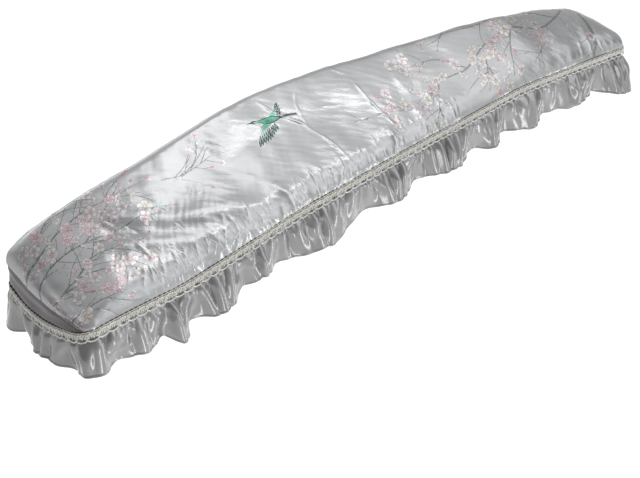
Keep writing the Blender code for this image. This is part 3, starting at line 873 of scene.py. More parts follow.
def pucker_field(distance, height):
    """Gathers of the wall over the lace, of uneven length, width and lean, and the painted highlight along
    them.
    """
    rng = random.Random(PUCKER_SEED)
    total, pale = np.zeros(len(distance)), np.zeros(len(distance))
    up = height - PUCKER_FOOT
    for start, end, pitch, reach, depth in PUCKERS:
        at = start
        while at < min(end, outline.length):
            tall = reach * rng.choice(PUCKER_HEIGHTS) * rng.uniform(*PUCKER_TALLS)
            width = rng.uniform(*PUCKER_WIDTHS) * (0.8 + 0.5 * tall / reach)
            lean, bend = rng.uniform(*PUCKER_LEANS), rng.uniform(*PUCKER_BENDS)
            size = depth * rng.uniform(*PUCKER_SIZES)
            off = wrapped(distance - at - lean * up - bend * up**2)
            rise = smooth((height - 0.005) / 0.012) * (1 - smooth((height - 0.014) / tall))
            wide = width * (1 + 5 * np.clip(height, 0, 0.12))
            total += size * rise * ridge(off, wide)
            # Painted highlight along the pucker's ridge.
            pale = np.maximum(pale, min(1.0, size / PUCKER_HIGHLIGHT_DEPTH) * rise * bell(off, 0.6 * wide))
            at += pitch * rng.uniform(*PUCKER_STEPS)
    return total, pale


def heading(angle):
    return np.array([math.cos(angle), math.sin(angle)])


def swell_field(flat):
    """Low uneven swells and fine ripples across the taut cloth, and short ones across the glare."""
    rng = random.Random(SWELL_SEED)
    total = np.zeros(len(flat))
    for wavelength, size, count in SWELLS:
        for _ in range(count):
            way, wave = rng.uniform(0, math.pi), wavelength * rng.uniform(0.8, 1.25)
            total += size * np.sin((flat @ heading(way)) * 2 * math.pi / wave + rng.uniform(0, 2 * math.pi))
    for way, wave, size in RIPPLES:
        across, onward = flat @ heading(way), flat @ np.array([-math.sin(way), math.cos(way)])
        bend = waver(onward, RIPPLE_BENDS)
        swell = 0.55 + 0.45 * np.sin(onward * 53 + across * 21) * np.sin(across * 17 + 2)
        total += size * swell * np.sin((across + bend) * 2 * math.pi / wave)
    x, y = flat.T
    depth, middle, spread = GLARE_TEETH
    across = 0.82 * x - 0.57 * y
    teeth = np.sin(across * 480 + 1.3 * np.sin(across * 130) + 2 * np.sin(y * 60))
    return total + patch(depth, flat, middle, spread) * teeth


# Building the pieces
def make_piece(name, points, faces, material):
    """A smooth mesh, moved from the drawing's origin to the part's."""
    mesh = bpy.data.meshes.new(name)
    placed = np.array(points) - np.array([LENGTH / 2, 0.0, SEAT_HEIGHT])
    mesh.from_pydata(placed.tolist(), [], faces)
    mesh.materials.append(material)
    mesh.shade_smooth()
    thing = bpy.data.objects.new(name, mesh)
    bpy.context.collection.objects.link(thing)
    return thing


def strip_faces(rows, columns, closed=True, falling=False):
    """Four-sided faces between rows of points, each row over the last or, where they fall, under it."""
    k = np.arange(columns if closed else columns - 1)
    after = (k + 1) % columns
    faces = []
    for row in range(rows - 1):
        low, high = row * columns, (row + 1) * columns
        if falling:
            low, high = high, low
        faces.append(np.stack([low + k, low + after, high + after, high + k], 1))
    return np.concatenate(faces)


def vertex_normals(points, triangles):
    """Normals at the points, weighted by the areas of their triangles."""
    a, b, c = [points[triangles[:, corner]] for corner in range(3)]
    faces = np.cross(b - a, c - a)
    normals = np.zeros_like(points)
    for corner in range(3):
        np.add.at(normals, triangles[:, corner], faces)
    return normals / np.maximum(np.linalg.norm(normals, axis=1), 1e-12)[:, None]


def grid_points(steps):
    """Staggered points of the flat panel: finest along the front seam, widest behind the ridge."""
    spots = []
    for zone, step in enumerate(steps):
        for row, y in enumerate(np.arange(*GRID_SIDES, step * math.sqrt(3) / 2)):
            xs = np.arange(-GRID_ENDS, LENGTH + GRID_ENDS, step) + (step / 2 if row % 2 else 0.0)
            edge = FRONT_STRIP - half_width(xs)
            ridge_y = along(TOP_SECTIONS, xs, 4) + RIDGE_STRIP
            keep = (y <= edge, (y > edge) & (y <= ridge_y), y > ridge_y)[zone]
            spots.append(np.column_stack([xs[keep], np.full(keep.sum(), y)]))
    spots = np.concatenate(spots)
    at, out = crest_place(spots)
    return spots[out < outline.read(outline.wall, at) - BORDER_GAP]


def cut_panel(border, shapes):
    """Points and triangles of the flat panel, with the edges of the print cut into them."""
    spots = crease_spots(grid_points(FINE_STEPS))
    verts = [Vector(spot) for spot in np.concatenate([border, spots])]
    edges = []
    for points, *_ in shapes:
        first, count = len(verts), len(points)
        edges += [(first + k, first + (k + 1) % count) for k in range(count)]
        verts.extend(Vector(point) for point in points)
    flat, _, triangles, _, _, _ = delaunay_2d_cdt(verts, edges, [list(range(outline.count))], 1, 1e-7, False)
    flat = np.array([tuple(spot) for spot in flat])
    triangles = np.array([list(triangle) for triangle in triangles])
    at, out = crest_place(flat[triangles].mean(axis=1))
    used, triangles = np.unique(triangles[out < outline.read(outline.wall, at)], return_inverse=True)
    return flat[used], triangles.reshape(-1, 3)


def make_top_panel(material):
    """The printed panel: cut flat, hung over the ridge, creased, coloured with print, painted highlight and
    painted shade, and given a lip.
    """
    border = outline.crest + outline.crest_normals * outline.wall[:, None]
    shapes = lay_print()
    flat, triangles = cut_panel(border, shapes)
    at, out = crest_place(flat)
    distance = np.interp(at % outline.count, np.arange(outline.count + 1), outline.marks)
    height = np.where(out > -WALL_ZONE, outline.read(outline.rise, at) - out, FAR_ABOVE)

    # The crease and pucker fields also give the masks of their painted highlight.
    creases, pale = crease_field(flat)
    puckers, pucker_highlight = pucker_field(distance, height)
    fade = smooth((height - FADE_START) / FADE_SPAN)
    move = fade * (creases + swell_field(flat) + terrace_field(flat)) + puckers
    points = lift(flat, at, out)
    points = points + vertex_normals(points, triangles) * move[:, None]

    # The print's colours, with painted highlight along the creases and puckers.
    colors = print_colors(flat, triangles, shapes, CREASE_HIGHLIGHT_COVER * np.maximum(fade * pale, 0.8 * pucker_highlight))
    # Painted shade along the edge over the lace.
    painted_shade = PAINTED_SHADE_COVER * smooth(1.0 - (outline.read(outline.wall, at) - out) / PAINTED_SHADE_SPAN)
    painted_shade = painted_shade[triangles].reshape(-1, 1)
    colors = mix(colors, np.array((*SEAM_PAINTED_SHADE, 1.0)), painted_shade)
    points, faces, colors = add_lip(points, triangles.tolist(), colors, nearest(tree_of(flat), border))
    piece = make_piece("satin_top", points, faces, material)
    layer = piece.data.color_attributes.new("Print", "FLOAT_COLOR", "CORNER")
    layer.data.foreach_set("color", colors.astype(np.float32).ravel())
    # Crush drives the crinkles' bump and the painted highlight on their ridges.
    crushed = np.zeros(len(points), dtype=np.float32)
    crushed[:len(flat)] = crush_field(flat, height)
    piece.data.attributes.new("Crush", "FLOAT", "POINT").data.foreach_set("value", crushed)
    return piece


def shape_owners(middles, shapes):
    """For each triangle of the panel, the number of the last shape laid over its middle, or nought."""
    order = np.argsort(middles[:, 0])
    xs = middles[order, 0]
    owners = np.zeros(len(middles), dtype=int)
    for number, (points, *_) in enumerate(shapes, 1):
        low, high = points.min(axis=0), points.max(axis=0)
        near = order[np.searchsorted(xs, low[0]):np.searchsorted(xs, high[0])]
        near = near[(middles[near, 1] >= low[1]) & (middles[near, 1] <= high[1])]
        if not len(near):
            continue
        x, y = middles[near].T
        inside = np.zeros(len(near), dtype=bool)
        for (ax, ay), (bx, by) in zip(points, np.roll(points, -1, axis=0)):
            crosses = (ay > y) != (by > y)
            reach = (bx - ax) * (y - ay) / (by - ay if by != ay else 1.0) + ax
            inside ^= crosses & (x < reach)
        owners[near[inside]] = number
    return owners


def add_lip(points, faces, colors, rim):
    """Turns the cut edge inward in a narrow rolled lip, coloured with painted shade."""
    stations = np.arange(outline.count)
    after = (stations + 1) % outline.count
    high = rim
    for height, reach in LIP:
        low = len(points) + stations
        points = np.concatenate([points, outline.place(stations, outline.band + height, reach)])
        faces += np.stack([low, low[after], high[after], high], 1).tolist()
        high = low
    # The lip takes the same painted shade.
    lip_painted_shade = np.array([(*SEAM_PAINTED_SHADE, PAINTED_SHADE_COVER)])
    return points, faces, np.concatenate([colors, lip_painted_shade.repeat(4 * len(LIP) * outline.count, axis=0)])


def print_colors(flat, triangles, shapes, pale):
    """The print's colour and cover at every corner, with painted highlight along the creases and puckers."""
    owners = shape_owners(flat[triangles].mean(axis=1), shapes)
    # Away from the print, corners start as painted highlight, with its mask as cover.
    colors = np.zeros((len(triangles), 3, 4))
    colors[..., :3] = CREASE_PAINTED_HIGHLIGHT
    colors[..., 3] = pale[triangles]
    for face in np.flatnonzero(owners):
        _, near, far, centre, reach, cover = shapes[owners[face] - 1]
        for corner, number in enumerate(triangles[face]):
            share = min(1.0, math.dist(flat[number], centre) / reach)
            printed = mix(np.array(near), np.array(far), share)
            colors[face, corner, :3] = mix(printed, np.array(CREASE_PAINTED_HIGHLIGHT), pale[number])
            colors[face, corner, 3] = mix(cover, 1.0, pale[number])
    return colors.reshape(-1, 4)


# Depth of the ruffle under the seam, then how deep its gathers are, its lean and its share of the flare.
HANG = (
    (0.0, 0.0010, -0.0030, 0.0),
    (0.0122, 0.0020, -0.0022, 0.0),
    (0.020, 0.0038, 0.0020, 0.12),
    (0.045, 0.0056, 0.0008, 0.50),
    (0.085, 0.0020, 0.0, 1.0),
    (0.115, 0.0014, 0.0, 1.12),
)
# Shares of the drop where the rows of the hem lie, then the rows behind it: height from it, reach outward.
HEM_LEVELS = (0.955, 0.968, 0.979, 0.989, 0.9955, 1.0)
HEM_ROLL = ((-0.0008, -0.0002), (-0.0012, -0.0010), (-0.0008, -0.0018), (0.0012, -0.0020), (0.0042, -0.0017))
# Spans for the ruffle's fine folds: tucks, long folds and looped ones. Steps lead from one to the next.
TUCK_HEIGHTS, TUCK_TALLS, TUCK_STEPS = (0.012, 0.018, 0.028, 0.044), (0.8, 1.2), (0.011, 0.027)
TUCK_WIDTHS, TUCK_SIZES, TUCK_LEANS = (0.0022, 0.0036), (0.0018, 0.0036), (-0.40, 0.40)
LONG_HEIGHTS, LONG_WIDTHS, LONG_SIZES = (0.050, 0.085), (0.0066, 0.0115), (0.0028, 0.0066)
LONG_LEANS, LONG_BENDS, LONG_STEPS = (-0.40, 0.40), (-3.5, 3.5), (0.024, 0.060)
LOOP_WIDTHS, LOOP_HEIGHTS, LOOP_SIZES = (0.010, 0.019), (0.036, 0.066), (0.0018, 0.0030)
LOOP_LEANS, LOOP_STARTS, LOOP_STEPS = (-0.25, 0.25), (0.0, 0.1), (0.090, 0.200)
LOOP_POWER = 2.4
LOOP_EDGE = 0.0056
# Shares of their size on the narrow end, which begins this far past its back corner.
TUCK_CALM, LONG_CALM, LOOP_CALM = 0.4, 0.6, 0.0
NARROW_END = 0.02
WAVE_BLUR = 0.016
HEM_WAVER = ((0.0012, 48, 1), (0.0009, 77, 0))
# How far the folds fan out with the waves' slope. It is taken over columns on each side and then smoothed,
# over the whole run divided by the last number.
FAN, FAN_COLUMNS, FAN_BLUR = 0.30, 8, 240
# The narrow end hangs calmer: share of its folds lost, where that starts and stops before its corners, blur.
END_CALM, END_START, END_STOP, END_BLUR = 0.45, 0.03, 0.002, 0.05
# So does its front corner: share of the folds lost and reach.
CORNER_CALM, CORNER_SPREAD = 0.8, 0.018
# Down to this depth the ruffle stays behind the lace, at this reach.
LACE_FOOT, BEHIND_LACE = 0.0135, -0.0003
# The stitched hem: its swell, height and blur, then the groove over it: depth, height and spread.
HEM_SWELL, HEM_HEIGHT, HEM_BLUR = 0.0011, 0.0042, 0.0036
GROOVE, GROOVE_HEIGHT, GROOVE_SPREAD = 0.0003, 0.0050, 0.0010
# Folds bulge along the seam with their slope, up to a limit.
PUFF, PUFF_LIMIT = 0.0030, 0.0026


def hem_waves():
    """Start, reach and extra drop of the hem's large waves, once round the cover."""
    waves = [(outline.corner(0) + start, reach, extra) for start, reach, extra in FRONT_WAVES]
    waves += [(outline.corner(1) + start, reach, extra) for start, reach, extra in HEAD_WAVES]
    rng = random.Random(FOLD_SEED)
    run = (outline.corner(3) - outline.corner(2) + TAIL_WAVES[0][0]) / BACK_WAVES
    for number in range(1, BACK_WAVES):
        start = outline.corner(2) + run * (number + rng.uniform(-BACK_SPREAD, BACK_SPREAD))
        waves.append((start, BACK_REACH * rng.uniform(1 - BACK_SPREAD, 1 + BACK_SPREAD), BACK_EXTRA))
    waves += [(outline.corner(3) + start, reach, extra) for start, reach, extra in TAIL_WAVES]
    return waves


def wave_run(distance):
    """How far the large waves move the hem outward and down, at even distances round the seam."""
    waves = np.array(hem_waves())
    starts = waves[:, 0]
    ends = np.append(starts[1:], starts[0] + outline.length)
    shifted = np.where(distance < starts[0], distance + outline.length, distance)
    row = np.clip(np.searchsorted(starts, shifted, side="right") - 1, 0, len(starts) - 1)
    crest = -np.cos(2 * np.pi * (shifted - starts[row]) / (ends[row] - starts[row]))
    reach, extra = waves[row, 1] * crest, waves[row, 2] * (1 + crest) / 2
    soften = max(2, int(WAVE_BLUR / (outline.length / len(distance))))
    return blurred(reach, soften), blurred(extra, soften)


def gather_run(distance):
    """The uneven gathers, as a smooth run of turns between -1.2 and 1.2."""
    rng = random.Random(FOLD_SEED)
    count = round(outline.length / FOLD_PITCH)
    widths = [1 + rng.uniform(-PITCH_SPREAD, PITCH_SPREAD) for _ in range(count)]
    scale = outline.length / sum(widths)
    marks, turns = [], []
    start = 0.0
    for width in widths:
        depth = rng.uniform(SHALLOWEST_FOLD, DEEPEST_FOLD)
        marks += [start, start + width * scale / 2]
        turns += [-depth, depth]
        start += width * scale
    marks, turns = np.array(marks), np.array(turns)
    row = np.searchsorted(marks, distance, side="right") - 1
    after = (row + 1) % len(marks)
    ends = np.where(after == 0, outline.length, marks[after])
    return mix(turns[row], turns[after], smooth((distance - marks[row]) / (ends - marks[row])))


def calmer(at, share):
    """How strong a fold is: a share of its size on the narrow end."""
    return share if at > outline.corner(3) + NARROW_END else 1.0


def tucks(rng, distance, below):
    """Short tucks between the puffs under the lace."""
    total, at = np.zeros_like(below), 0.0
    while at < outline.length:
        calm = calmer(at, TUCK_CALM)
        width = rng.uniform(*TUCK_WIDTHS)
        tall = rng.choice(TUCK_HEIGHTS) * rng.uniform(*TUCK_TALLS)
        lean = rng.uniform(*TUCK_LEANS)
        size = rng.uniform(*TUCK_SIZES) * calm
        off = wrapped(distance - at - lean * below)
        fade = smooth((below + 0.004) / 0.008) * (1 - smooth(below / tall))
        total -= size * ridge(off, width * (1 + 24 * np.maximum(below, 0))) * fade
        at += rng.uniform(*TUCK_STEPS) * (2.2 - 1.2 * calm)
    return total


def long_folds(rng, distance, below):
    """Slanting folds that reach down to the hem and widen on their way."""
    total, at = np.zeros_like(below), 0.0
    while at < outline.length:
        tall = rng.uniform(*LONG_HEIGHTS)
        lean, bend = rng.uniform(*LONG_LEANS), rng.uniform(*LONG_BENDS)
        width = rng.uniform(*LONG_WIDTHS)
        size = rng.uniform(*LONG_SIZES) * calmer(at, LONG_CALM)
        off = wrapped(distance - at - lean * below - bend * below**2)
        share = below / tall
        fade = smooth(share * 2.5) * smooth((1.08 - share) * 1.5)
        total += size * bell(off, width * (1 + 0.5 * np.clip(share, 0, 1.3))) * fade
        at += rng.uniform(*LONG_STEPS)
    return total


def looped_folds(rng, distance, drop):
    """A few folds that turn round in a loop above the hem."""
    total, at = np.zeros_like(drop), rng.uniform(*LOOP_STARTS)
    below = drop - TRIM_HALF
    while calmer(at, LOOP_CALM):
        half, bottom = rng.uniform(*LOOP_WIDTHS), rng.uniform(*LOOP_HEIGHTS)
        lean = rng.uniform(*LOOP_LEANS)
        off = np.abs(wrapped(distance - at - lean * below) / half)
        tall = bottom - TRIM_HALF
        gap = below - tall * (1 - off**LOOP_POWER)
        slope = np.sqrt(1 + (LOOP_POWER * tall / half * np.minimum(off, 1.2) ** (LOOP_POWER - 1)) ** 2)
        inside = smooth((1.25 - off) * 4) * smooth((drop - 0.006) / 0.008)
        total += rng.uniform(*LOOP_SIZES) * bell(gap / slope, LOOP_EDGE) * inside
        at += rng.uniform(*LOOP_STEPS)
    return total


def gather_detail(distance, drop):
    """Finer folds between the gathers, at places round the seam and depths under it."""
    rng = random.Random(DETAIL_SEED)
    below = drop - TRIM_HALF
    return tucks(rng, distance, below) + long_folds(rng, distance, below) + looped_folds(rng, distance, drop)


def ruffle_reach(distance, drop, flare):
    """How far the ruffle stands out, at places round the seam and depths under it."""
    folds = gather_run(distance)
    columns, length = len(distance), outline.length
    turn = np.roll(flare, -FAN_COLUMNS) - np.roll(flare, FAN_COLUMNS)
    turn = blurred(turn / np.abs(turn).max(), columns // FAN_BLUR)
    fan = FAN * turn * np.maximum(drop - TRIM_HALF, 0.0)
    spread = np.mod(distance - fan, length)
    gathers = np.interp(spread, np.append(distance, length), np.append(folds, folds[0]))
    end = smooth((distance - outline.corner(3) + END_START) / END_BLUR)
    end = end * smooth((length - distance - END_STOP) / END_BLUR)
    calm = (1 - END_CALM * end) * (1 - CORNER_CALM * bell(wrapped(distance), CORNER_SPREAD))
    depth, lean, share = [along(HANG, drop, column) for column in (1, 2, 3)]
    out = gathers * calm * depth + lean + flare * share
    out = out + gather_detail(spread, drop) * smooth((drop - 0.004) / 0.010)
    return np.where(drop < LACE_FOOT, np.minimum(out, BEHIND_LACE), out)


def make_ruffle(material):
    """Gathers hang from the seam, open into the hem's waves and end in a rolled hem."""
    columns, body = FINE_RUFFLE
    distance = np.arange(columns) * outline.length / columns
    reach, extra = wave_run(distance)
    share = outline.read(outline.points, outline.station(distance))[:, 0] / LENGTH
    angle = distance * 2 * np.pi / outline.length
    drops = mix(TAIL_DROP, HEAD_DROP, share) + extra + waver(angle, HEM_WAVER)
    level = np.concatenate([np.linspace(0.0, HEM_LEVELS[0], body), HEM_LEVELS[1:]])[:, None]
    drop = SEAM_GAP + (drops - SEAM_GAP) * level
    out = ruffle_reach(distance, drop, MEAN_FLARE + reach)
    hem = drops - drop
    swell = HEM_SWELL * smooth((HEM_HEIGHT - hem) / HEM_BLUR)
    out = out + swell - GROOVE * bell(hem - GROOVE_HEIGHT, GROOVE_SPREAD)
    slope = (np.roll(out, -1, axis=1) - np.roll(out, 1, axis=1)) / (2 * outline.length / columns)
    shift = np.clip(-PUFF * slope, -PUFF_LIMIT, PUFF_LIMIT) * smooth((drop - 0.012) / 0.02)
    at = [outline.station(distance + row) for row in shift]
    points = [outline.place(spots, -down, away) for spots, down, away in zip(at, drop, out)]
    points += [outline.place(at[-1], height - drop[-1], out[-1] + away) for height, away in HEM_ROLL]
    faces = strip_faces(len(points), columns, falling=True).tolist()
    return make_piece("satin_ruffle", np.concatenate(points), faces, material)


def make_tail_band(material):
    """The plain crescent under the panel's edge at the narrow end, a little puckered."""
    band = outline.band
    first = next(k for k in range(outline.count) if band[k] > 0 and band[k - 1] == 0)
    banded = np.roll(np.arange(outline.count), -first)
    banded = banded[band[banded] > 0]
    distance = outline.marks[banded]
    points = []
    for share in np.arange(BAND_ROWS) / (BAND_ROWS - 1):
        height = share * (band[banded] - SEAM_GAP + BAND_LAP)
        swell = 0.0006 * np.sin(distance * 41 + 3 * share) + 0.0004 * np.sin(distance * 97 - 5 * share + 1)
        swell += 0.0007 * np.sin(height * 210 + distance * 13)
        tuck = BAND_TUCK * smooth((share - 0.8) / 0.2)
        points.append(outline.place(banded, height, swell * math.sin(math.pi * share) - BAND_INSET - tuck))
    faces = strip_faces(BAND_ROWS, len(banded), closed=False).tolist()
    return make_piece("plain_band", np.concatenate(points), faces, material)


def tube(distance, height, reach, radius, sides):
    """A closed cord along the seam: points of its middle line given over the seam's own directions."""
    at = outline.station(distance)
    line = outline.place(at, height, reach)
    step = unit(np.roll(line, -1, axis=0) - np.roll(line, 1, axis=0))
    normal = np.column_stack([outline.read(outline.normals, at), np.zeros(len(line))])
    side = unit(np.cross(step, normal))
    turns = 2 * np.pi * np.arange(sides)[:, None] / sides
    ring = np.cos(turns) * side[:, None] + np.sin(turns) * np.cross(side, step)[:, None]
    k, j = np.meshgrid(np.arange(len(line)), np.arange(sides), indexing="ij")
    after, turn = (k + 1) % len(line), (j + 1) % sides
    faces = np.stack([k * sides + j, after * sides + j, after * sides + turn, k * sides + turn], -1)
    return (line[:, None] + radius * ring).reshape(-1, 3), faces.reshape(-1, 4)


# Cords of the lace. Each gives, round one period, its shift along the seam, its height and its reach outward.
def top_cord(a):
    return 0 * a, 0.0088 + 0.0005 * np.cos(4 * a), 0.0012 + 0.0004 * np.sin(4 * a)


def rings(a):
    return -0.31 * np.sin(a), 0.0010 - 0.0046 * np.cos(a), 0.0022 + 0.0005 * np.sin(a)


def waves(a):
    height = 0.0014 + 0.0058 * np.cos(4 * a) + 0.0012 * np.sin(a)
    return 0.04 * np.sin(a), height, 0.0018 + 0.0004 * np.sin(2 * a)


def scallop(a):
    return -0.03 * np.sin(a), -0.0056 - 0.0052 * np.abs(np.sin(a / 2)) ** 0.6, 0.0022 + 0.0003 * np.cos(a)


def picots(a):
    edge = -0.0068 - 0.0050 * np.abs(np.sin(a / 2)) ** 0.6
    return -0.03 * np.sin(a), edge - 0.0010 * np.abs(np.sin(3 * a)), 0.0019 + 0 * a


def stitch(a):
    return 0 * a, 0.0104 + 0 * a, 0.0004 + 0.0014 * np.cos(2 * a)


YARN, GROUND, THREAD = range(3)
# Each cord's material, its points in one period, its sides, its radius and its form.
CORDS = (
    (YARN, 12, 5, 0.00080, top_cord),
    (YARN, 20, 5, 0.00100, rings),
    (YARN, 24, 4, 0.00085, waves),
    (YARN, 14, 5, 0.00115, scallop),
    (YARN, 18, 3, 0.00070, picots),
    (THREAD, 16, 4, 0.00080, stitch),
)
LACE_PERIOD = 0.021
GROUND_HEIGHTS = (-0.0050, 0.0, 0.0076)


def make_lace(materials):
    """A lace ribbon: rings and waves of cord, scallops with picots, stitches and a dim ground, painted shade
    over the cloth in the lace's holes.
    """
    periods = round(outline.length / LACE_PERIOD)
    parts = []
    for slot, steps, sides, radius, form in CORDS:
        t = np.arange(periods * steps) / steps
        shift, height, reach = form(2 * np.pi * t)
        parts.append((slot, *tube((t + shift) * outline.length / periods, height, reach, radius, sides)))
    stations = np.arange(0, outline.count, 2)
    # The ground sheet: its dim colour is painted shade over the cloth seen through the lace's holes.
    ground = [outline.place(stations, height + 0 * stations, GAP + 0.0002) for height in GROUND_HEIGHTS]
    parts.append((GROUND, np.concatenate(ground), strip_faces(len(ground), len(stations))))
    points, faces, slots = [], [], []
    first = 0
    for slot, part, part_faces in parts:
        points.append(part)
        faces += (part_faces + first).tolist()
        slots += [slot] * len(part_faces)
        first += len(part)
    piece = make_piece("lace_ribbon", np.concatenate(points), faces, materials[0])
    for material in materials[1:]:
        piece.data.materials.append(material)
    piece.data.polygons.foreach_set("material_index", np.array(slots, dtype=np.int32))
    return piece


# Materials
class Nodes:
    """Short calls for building the nodes of a material or of the world."""

    def __init__(self, owner, shader="Principled BSDF", coordinate="Object"):
        owner.use_nodes = True
        self.owner = owner
        self.tree = owner.node_tree
        self.shader = self.tree.nodes[shader]
        self.place = self.add("ShaderNodeTexCoord").outputs[coordinate]

    def add(self, kind, inputs=(), **values):
        """A new node: properties by name, inputs as pairs of a socket's key and its value or source."""
        node = self.tree.nodes.new(kind)
        for key, value in values.items():
            setattr(node, key, value)
        for key, value in inputs:
            self.feed(node.inputs[key], value)
        return node

    def feed(self, socket, value):
        """Links a source into a socket, or sets its constant value."""
        if isinstance(value, bpy.types.NodeSocket):
            self.tree.links.new(value, socket)
        elif isinstance(value, tuple) and socket.type == "RGBA":
            socket.default_value = (*value, 1.0)
        else:
            socket.default_value = value

    def set(self, **values):
        """Inputs of the shader, with underscores for the spaces in their names."""
        for key, value in values.items():
            self.feed(self.shader.inputs[key.replace("_", " ")], value)

    def scaled(self, scale, turn=0.0):
        size = [1 / part for part in scale]
        inputs = (("Scale", size), ("Rotation", (0.0, 0.0, turn)), ("Vector", self.place))
        return self.add("ShaderNodeMapping", inputs, vector_type="TEXTURE").outputs["Vector"]

    def noise(self, scale, detail, vector=None):
        inputs = (("Scale", scale), ("Detail", detail), ("Vector", vector or self.place))
        return self.add("ShaderNodeTexNoise", inputs).outputs["Fac"]

    def ramp(self, source, low, high, start=(0, 0, 0), end=(1, 1, 1)):
        node = self.add("ShaderNodeValToRGB", (("Fac", source),))
        for element, position, color in zip(node.color_ramp.elements, (low, high), (start, end)):
            element.position = position
            element.color = (*color, 1.0)
        return node.outputs["Color"]

    def math(self, operation, first, second):
        return self.add("ShaderNodeMath", ((0, first), (1, second)), operation=operation).outputs["Value"]

    def times(self, first, second):
        return self.math("MULTIPLY", first, second)

    def plus(self, first, second):
        return self.math("ADD", first, second)

    def blend(self, factor, first, second, kind="MIX"):
        inputs = ((0, factor), (6, first), (7, second))
        return self.add("ShaderNodeMix", inputs, data_type="RGBA", blend_type=kind).outputs[2]

    def lobe(self, way, edge, full, low, high):
        """Brightness that rises softly, from an edge to full, along one way."""
        dot = self.add("ShaderNodeVectorMath", ((0, self.place), (1, way)), operation="DOT_PRODUCT")
        inputs = (("Value", dot.outputs["Value"]), ("From Min", edge), ("From Max", full))
        inputs += (("To Min", low), ("To Max", high))
        return self.add("ShaderNodeMapRange", inputs, interpolation_type="SMOOTHSTEP").outputs["Result"]

    def crinkle(self):
        """Fine sharp ridges between small facets, in patches of the crushed cloth; the mask also paints a
        highlight on them.
        """
        wander = self.add("ShaderNodeTexNoise", (("Scale", 30.0), ("Vector", self.place))).outputs["Color"]
        inputs = ((0, wander), (1, (0.022, 0.022, 0.022)), (2, self.place))
        bent = self.add("ShaderNodeVectorMath", inputs, operation="MULTIPLY_ADD").outputs["Vector"]
        long = self.add("ShaderNodeVectorMath", ((0, bent), (1, (82.0, 26.0, 26.0))), operation="MULTIPLY")
        inputs = (("Scale", 1.0), ("Vector", long.outputs["Vector"]))
        cells = self.add("ShaderNodeTexVoronoi", inputs, feature="DISTANCE_TO_EDGE")
        ridges = self.ramp(cells.outputs["Distance"], 0.0, 0.10, (1, 1, 1), (0, 0, 0))
        patches = self.ramp(self.noise(26.0, 2.0), 0.46, 0.60)
        crushed = self.add("ShaderNodeAttribute", attribute_name="Crush").outputs["Fac"]
        return self.times(self.times(ridges, patches), crushed)

    def bump(self, height, strength, distance):
        inputs = (("Strength", strength), ("Distance", distance), ("Height", height))
        self.set(Normal=self.add("ShaderNodeBump", inputs).outputs["Normal"])

    def weave(self, pitch):
        """Threads at right angles, as a height."""
        inputs = (("Scale", 0.31 / pitch), ("Distortion", 0.6), ("Vector", self.place))
        warp, weft = [self.add("ShaderNodeTexWave", inputs, wave_type="BANDS", bands_direction=axis)
                      for axis in ("X", "Y")]
        return self.times(warp.outputs["Fac"], weft.outputs["Fac"])


def inked(nodes, color):
    """The print over the satin: its ink thins out, and where it is light it turns chalky."""
    printed = nodes.add("ShaderNodeAttribute", attribute_name="Print").outputs
    solid = nodes.ramp(printed["Alpha"], 0.92, 0.96)
    stain = nodes.ramp(nodes.noise(330.0, 2.0), 0.38, 0.60)
    cover = nodes.times(printed["Alpha"], nodes.plus(0.50, nodes.times(stain, 0.50)))
    cover = nodes.math("MAXIMUM", cover, nodes.times(solid, 0.96))
    thin = nodes.noise(1.0, 2.0, nodes.scaled((420.0, 300.0, 360.0), 0.5))
    ink = nodes.blend(0.50, printed["Color"], nodes.ramp(thin, 0.36, 0.50, (0.50, 0.45, 0.46)), "MULTIPLY")
    grain = nodes.noise(1.0, 2.0, nodes.scaled((300.0, 410.0, 330.0), 1.9))
    chalk = nodes.ramp(grain, 0.51, 0.61, end=(0.88, 0.88, 0.88))
    light = nodes.times(nodes.ramp(printed["Fac"], 0.20, 0.34), nodes.math("SUBTRACT", 1.0, solid))
    return nodes.blend(cover, color, nodes.blend(nodes.times(chalk, light), ink, tone(244, 244, 244)))


def satin_material(name, light, dark, rough, printed=False):
    """Satin with a slub and a fine weave, which in its printed form takes ink and crinkles, with a painted
    highlight on the crinkles' ridges.
    """
    nodes = Nodes(bpy.data.materials.new(name))
    color = nodes.ramp(nodes.noise(5.0, 4.0), 0.35, 0.68, dark, light)
    fine = nodes.noise(1.0, 3.0, nodes.scaled((260.0, 90.0, 160.0), 0.7))
    color = nodes.blend(0.10, color, nodes.ramp(fine, 0.3, 0.7, (0.6, 0.6, 0.6)), "MULTIPLY")
    height = nodes.plus(nodes.times(nodes.weave(0.0006), 0.15), nodes.times(fine, 0.6))
    if printed:
        crinkle = nodes.crinkle()
        # The crinkles' ridges are painted paler: a painted highlight.
        color = nodes.blend(nodes.times(crinkle, 0.32), inked(nodes, color), CREASE_PAINTED_HIGHLIGHT)
        height = nodes.plus(height, nodes.times(crinkle, 6.0))
    nodes.set(Base_Color=color, Roughness=nodes.plus(rough, nodes.times(nodes.noise(30.0, 3.0), 0.10)))
    nodes.set(Metallic=0.60, Specular_IOR_Level=0.7, Coat_Weight=0.30, Coat_Roughness=0.14, Sheen_Weight=0.10)
    slub = nodes.noise(1.0, 3.0, nodes.scaled((26.0, 210.0, 90.0), -0.61))
    nodes.bump(nodes.plus(height, nodes.times(slub, 2.4)), 0.25, 0.00030)
    return nodes.owner


def lace_material(name, dark, light):
    """Matt twisted yarn."""
    nodes = Nodes(bpy.data.materials.new(name))
    nodes.set(Base_Color=nodes.ramp(nodes.noise(60.0, 4.0), 0.3, 0.7, dark, light))
    nodes.set(Roughness=0.62, Specular_IOR_Level=0.4, Sheen_Weight=0.3)
    nodes.bump(nodes.noise(1.0, 2.0, nodes.scaled((1500.0, 1500.0, 500.0))), 0.6, 0.0004)
    return nodes.owner


